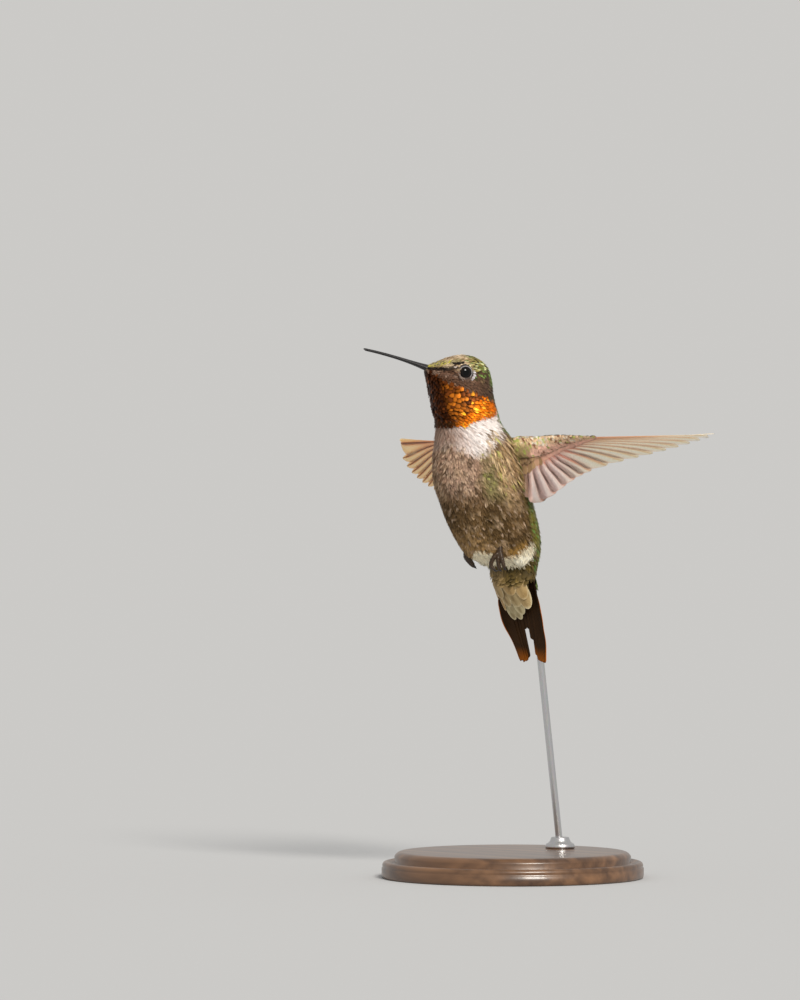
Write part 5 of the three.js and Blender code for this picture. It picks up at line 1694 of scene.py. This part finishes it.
for side in mirrors:
    rng = np.random.default_rng(20)
    surface = arm_surface(side)
    u, v, root, shown = scatter(surface, (-1.5, arm_end - 0.5), (0, 2 * np.pi), 0.36, rng, 2600, off_body)
    below = np.sin(v) < 0.1
    heading = np.column_stack((np.full(len(u), 0.75), np.where(below, 1.0, -1.0)))
    size = 1.6 - 0.5 * smooth(2, 16, u) + rng.normal(0, 0.12, len(u))
    vanes = lay_feathers(surface, u, v, heading, size, 0.8, rng, fingers=3, columns=1, rows=6, split=0.3,
                         ragged=0.3, sunk=0.25, proud=0.10, wisp=0.14)
    middle = (covert_drop(u) - 0.3 + leading_edge(u) - 0.15) / 2
    down = middle + (covert_drop(u) - middle) * np.cos(v) + 0.6
    tones = under_tones(u, down, rng)
    top = np.tile(colour(86, 102, 44), (len(u), 1))
    strew(top, rng, 0.3, colour(120, 124, 62))
    tones = np.where(below[:, None], tones, top)
    tones = feather_tones(vanes, tones, rng, 0.12, 0.08, 0.6)
    gloss = 0.3 * smooth(0.5, 0.8, vanes["along"]) * (~below)[vanes["feather"]]
    coat_piece(f"wing_coverts_{side}", vanes, tones, scale_plume, "wing_coverts", arm_unwrap(side, u, v),
               gloss)

    for face, face_name, row_end, drop in ((-1.0, "under", 19.0, 1.0), (1.0, "upper", 16.5, 0.85)):
        for row, (reach, count) in enumerate(((1.0, 30), (0.72, 34))):
            out = np.linspace(0.6, row_end, count) + rng.normal(0, 0.08, count)
            end = leading_edge(out) + (covert_end(out) * drop - leading_edge(out)) * reach
            length = np.clip(0.55 * (end - leading_edge(out)), 1.3, 4.2) * (1 + rng.normal(0, 0.06, count))
            slant = 0.10 + 0.75 * smooth(2, 18, out)
            heading = np.column_stack((slant, np.ones(count)))
            run = length / np.sqrt(1 + slant ** 2)
            down = end - run
            out = out - run * slant
            broad = np.interp(out, [0, 5, 8], [1.05, 1.15, 1.7])
            vanes = lay_feathers(wing_face(side, face), out, down, heading, length, broad, rng, columns=8,
                                 rows=12, ragged=0.14, sunk=0.15, proud=0.14 + 0.16 * row, dome=0.06,
                                 tip=0.62)
            if face < 0:
                outer_tone = painted(colour(206, 154, 134), smooth(5, 9, out), colour(240, 190, 168))
                tones = painted(colour(140, 112, 80), smooth(3, 7, out), outer_tone)
                strew(tones, rng, 0.3 * (1 - smooth(4, 7, out)), colour(148, 118, 84))
                tones = feather_tones(vanes, tones, rng, 0.10, 0.0, 0.8)
                tones = painted(tones, smooth(0.8, 1.0, vanes["edge"]) * 0.3, colour(222, 188, 172))
                if row == 0:
                    # Painted shadow: the first row's tips darken where the coverts end over the flight
                    # feathers.
                    tip_shadow = smooth(0.72, 1.0, vanes["along"]) * smooth(4, 8, out)[vanes["feather"]]
                    tones = painted(tones, tip_shadow * 0.7, colour(120, 62, 50))
                gloss = np.zeros(len(vanes["points"]))
            else:
                tones = painted(colour(84, 100, 46), smooth(9, 16, out), colour(110, 92, 62))
                tones = feather_tones(vanes, tones, rng, 0.14, 0.06, 0.5)
                gloss = 0.3 * smooth(0.5, 0.8, vanes["along"])
            sheet = arm_unwrap(side, out, np.full(count, 0.4 + 0.5 * row + (3.2 if face < 0 else 0.0)))
            name = f"{face_name}wing_row_{side}_{row + 1}"
            coat_piece(name, vanes, tones, scale_plume, "wing_coverts", sheet, gloss)

# ---- Tail ----
# Ten broad black-brown feathers, forked in the middle with the outer ones longer, each lapped from
# below by its outer neighbour. The outer three of each side have rusty tips, the last a rusty rim.
tail_per_side = 5
tail_lengths = {"left": (9.9, 12.5, 16.4, 17.6, 17.8), "right": (10.0, 16.8, 17.6, 17.8, 17.5)}
tail_aside = {"left": (0.0, 0.125, 0.25, 0.375, 0.5), "right": (0.0, -0.12, -0.12, -0.12, -0.12)}
tail_laps = (0.0, 0.5, 0.7, 1.1, 1.4)       # how far each reaches under the next one inwards, in widths
tail_plume = plume_material("tail_plume", 0.65, 0.0, 0.2, 0.22, 0.3, specular=0.08)


def tail_outline(along):
    """Half width of the tail at each distance from its root."""
    return 5.9 + 0.7 * smooth(0, 4, along) - 2.8 * smooth(6, 20, along)


for side, mirror in mirrors.items():
    rng = np.random.default_rng(21)
    for number in range(1, tail_per_side + 1):
        share = (number - 1) / (tail_per_side - 1)
        reach = tail_lengths[side][number - 1]
        t = np.linspace(-0.08, 1, 44)
        along = t * reach
        half = tail_outline(np.clip(along, 0, None)) / tail_per_side
        inner = np.stack(((number - 1) * half, along), -1)
        outer = np.stack((number * half + 0.02, along), -1)
        shaft = inner + (0.40 + 0.25 * share) * (outer - inner)
        aside = np.outer(smooth(4, 16, along), [tail_aside[side][number - 1], 0])
        inner, outer, shaft = (line + aside for line in (inner, outer, shaft))
        inner = inner - (tail_laps[number - 1] * half)[:, None] * [1, 0]
        inner, outer = tip_rounded(inner, outer, shaft, t, 0.95)
        level = 0.26 - 0.10 * number
        place = lambda across, along, rise, m=mirror, k=level: tail_point(m * across, along, rise + k)
        rings, q, run = vane_rings(inner, shaft, outer, t, place, 0.08, 0.09, 0.2)
        tone = painted(colour(52, 33, 15), smooth(0.78, 1.0, run) * (share > 0.4) * 0.85, colour(150, 82, 16))
        rim = smooth(0.55, 0.85, q) * smooth(0.05, 0.3, run) * (share > 0.8)
        tone = painted(tone, rim * 0.9, colour(222, 122, 22))
        tone = painted(tone, np.exp(-(q / 0.1) ** 2) * 0.6, colour(30, 20, 12)) * (1 + rng.normal(0, 0.05))
        shape = vane_shape(rings, tone, barb_places(run * reach, q * half.max(), 1.2, number * 5.1))
        vane_piece(f"tail_feather_{side}_{number}", [shape], tail_plume, "tail_feathers",
                   [f"tail_{side}_{number}"])

# ---- Feet ----
# Tiny weak feet drawn up under the belly: a bare scaled shank, three toes forward and one back,
# and a curved black claw on each.
foot_scales, tree, shader = new_material("foot_scales", Roughness=0.38, Specular_IOR_Level=0.35)
place = add_node(tree, "TexCoord")
scales = add_node(tree, "TexVoronoi", Scale=2600.0)
ramp = two_tone(tree, (0.066, 0.036, 0.016), (0.018, 0.010, 0.005))
roughen(tree, shader, scales, "Distance", 0.35, 0.00006, invert=True)
wire(tree, (place, "Object", scales, "Vector"), (scales, "Distance", ramp, "Fac"),
     (ramp, "Color", shader, "Base Color"))


def curve_through(stops, steps):
    """A smooth path of so many points through the stops."""
    stops = np.asarray(stops, float)
    return curve_at(stops, np.linspace(0, len(stops) - 1, steps))


def scaled_toe(stops, radii, scutes):
    """A tapering toe whose radius rises and falls once for each horny scute."""
    path = curve_through(stops, 40)
    t = np.linspace(0, 1, 40)
    radius = np.interp(t, np.linspace(0, 1, len(radii)), radii)
    return swept_tube(path, radius * (1 + 0.15 * np.abs(np.sin(np.pi * scutes * t))), 14)


feet = {                                    # shank as places, toes as steps from the knuckle
    "left": {"shank": [(4.8, -7.6, 77.4), (5.9, -10.1, 76.0), (6.1, -10.5, 74.7)],
             "toes": [[(-0.9, -1.1, -1.4), (-1.5, -1.4, -3.0), (-0.9, -0.8, -4.1)],
                      [(-0.1, -0.5, -1.6), (-0.1, -0.3, -3.1), (0.0, 0.0, -4.0)],
                      [(0.6, -0.1, -1.4), (0.9, 0.1, -2.8), (1.0, 0.4, -3.7)],
                      [(-0.3, 0.8, -0.8), (-0.5, 1.1, -1.5)]],
             "curls": [(0.7, 0.6, 0.1), (0.15, 0.5, -0.15), (0.15, 0.5, -0.15), (0.0, -0.3, -0.4)]},
    "right": {"shank": [(-4.3, -7.6, 77.0), (-5.1, -10.3, 76.1), (-4.9, -10.2, 74.7)],
              "toes": [[(-0.4, 0.3, -1.3), (-0.3, 1.2, -2.4), (0.1, 1.8, -3.1)],
                       [(0.0, 0.2, -1.5), (0.2, 1.2, -2.8), (0.5, 2.0, -3.5)],
                       [(0.4, 0.2, -1.3), (0.7, 1.0, -2.5), (0.9, 1.5, -3.1)],
                       [(0.1, 1.0, -0.6), (0.3, 1.6, -1.2)]],
              "curls": [(0.1, 0.5, -0.3), (0.1, 0.5, -0.3), (0.1, 0.5, -0.3), (0.1, 0.0, -0.5)]},
}
shank_radii = [0.42, 0.52, 0.56, 0.66]
front_radii, back_radii = [0.54, 0.50, 0.42, 0.32], [0.38, 0.33, 0.26]
shank_scutes, toe_scutes = 9, 8
claw_radius = 0.27
for side in mirrors:
    shank = np.array(feet[side]["shank"])
    knuckle = shank[-1]
    toes, claws = [scaled_toe(shank, shank_radii, shank_scutes)], []
    for steps, curl in zip(feet[side]["toes"], feet[side]["curls"]):
        stops = knuckle + np.vstack(([0, 0, 0], steps))
        toes.append(scaled_toe(stops, front_radii if len(steps) == 3 else back_radii, toe_scutes))
        way = stops[-1] - stops[-2]
        tip = stops[-1] + 0.35 * way / np.linalg.norm(way)
        claw = curve_through([stops[-1], tip, tip + curl], 16)
        claws.append(swept_tube(claw, claw_radius * (1 - np.linspace(0, 0.93, 16) ** 1.3), 10))
    points, faces = join_shapes(toes)
    new_piece(f"bare_foot_{side}", points, faces, foot_scales, "foot_skin", [f"foot_{side}"])
    points, faces = join_shapes(claws)
    new_piece(f"claws_{side}", points, faces, bill_horn, "foot_skin")
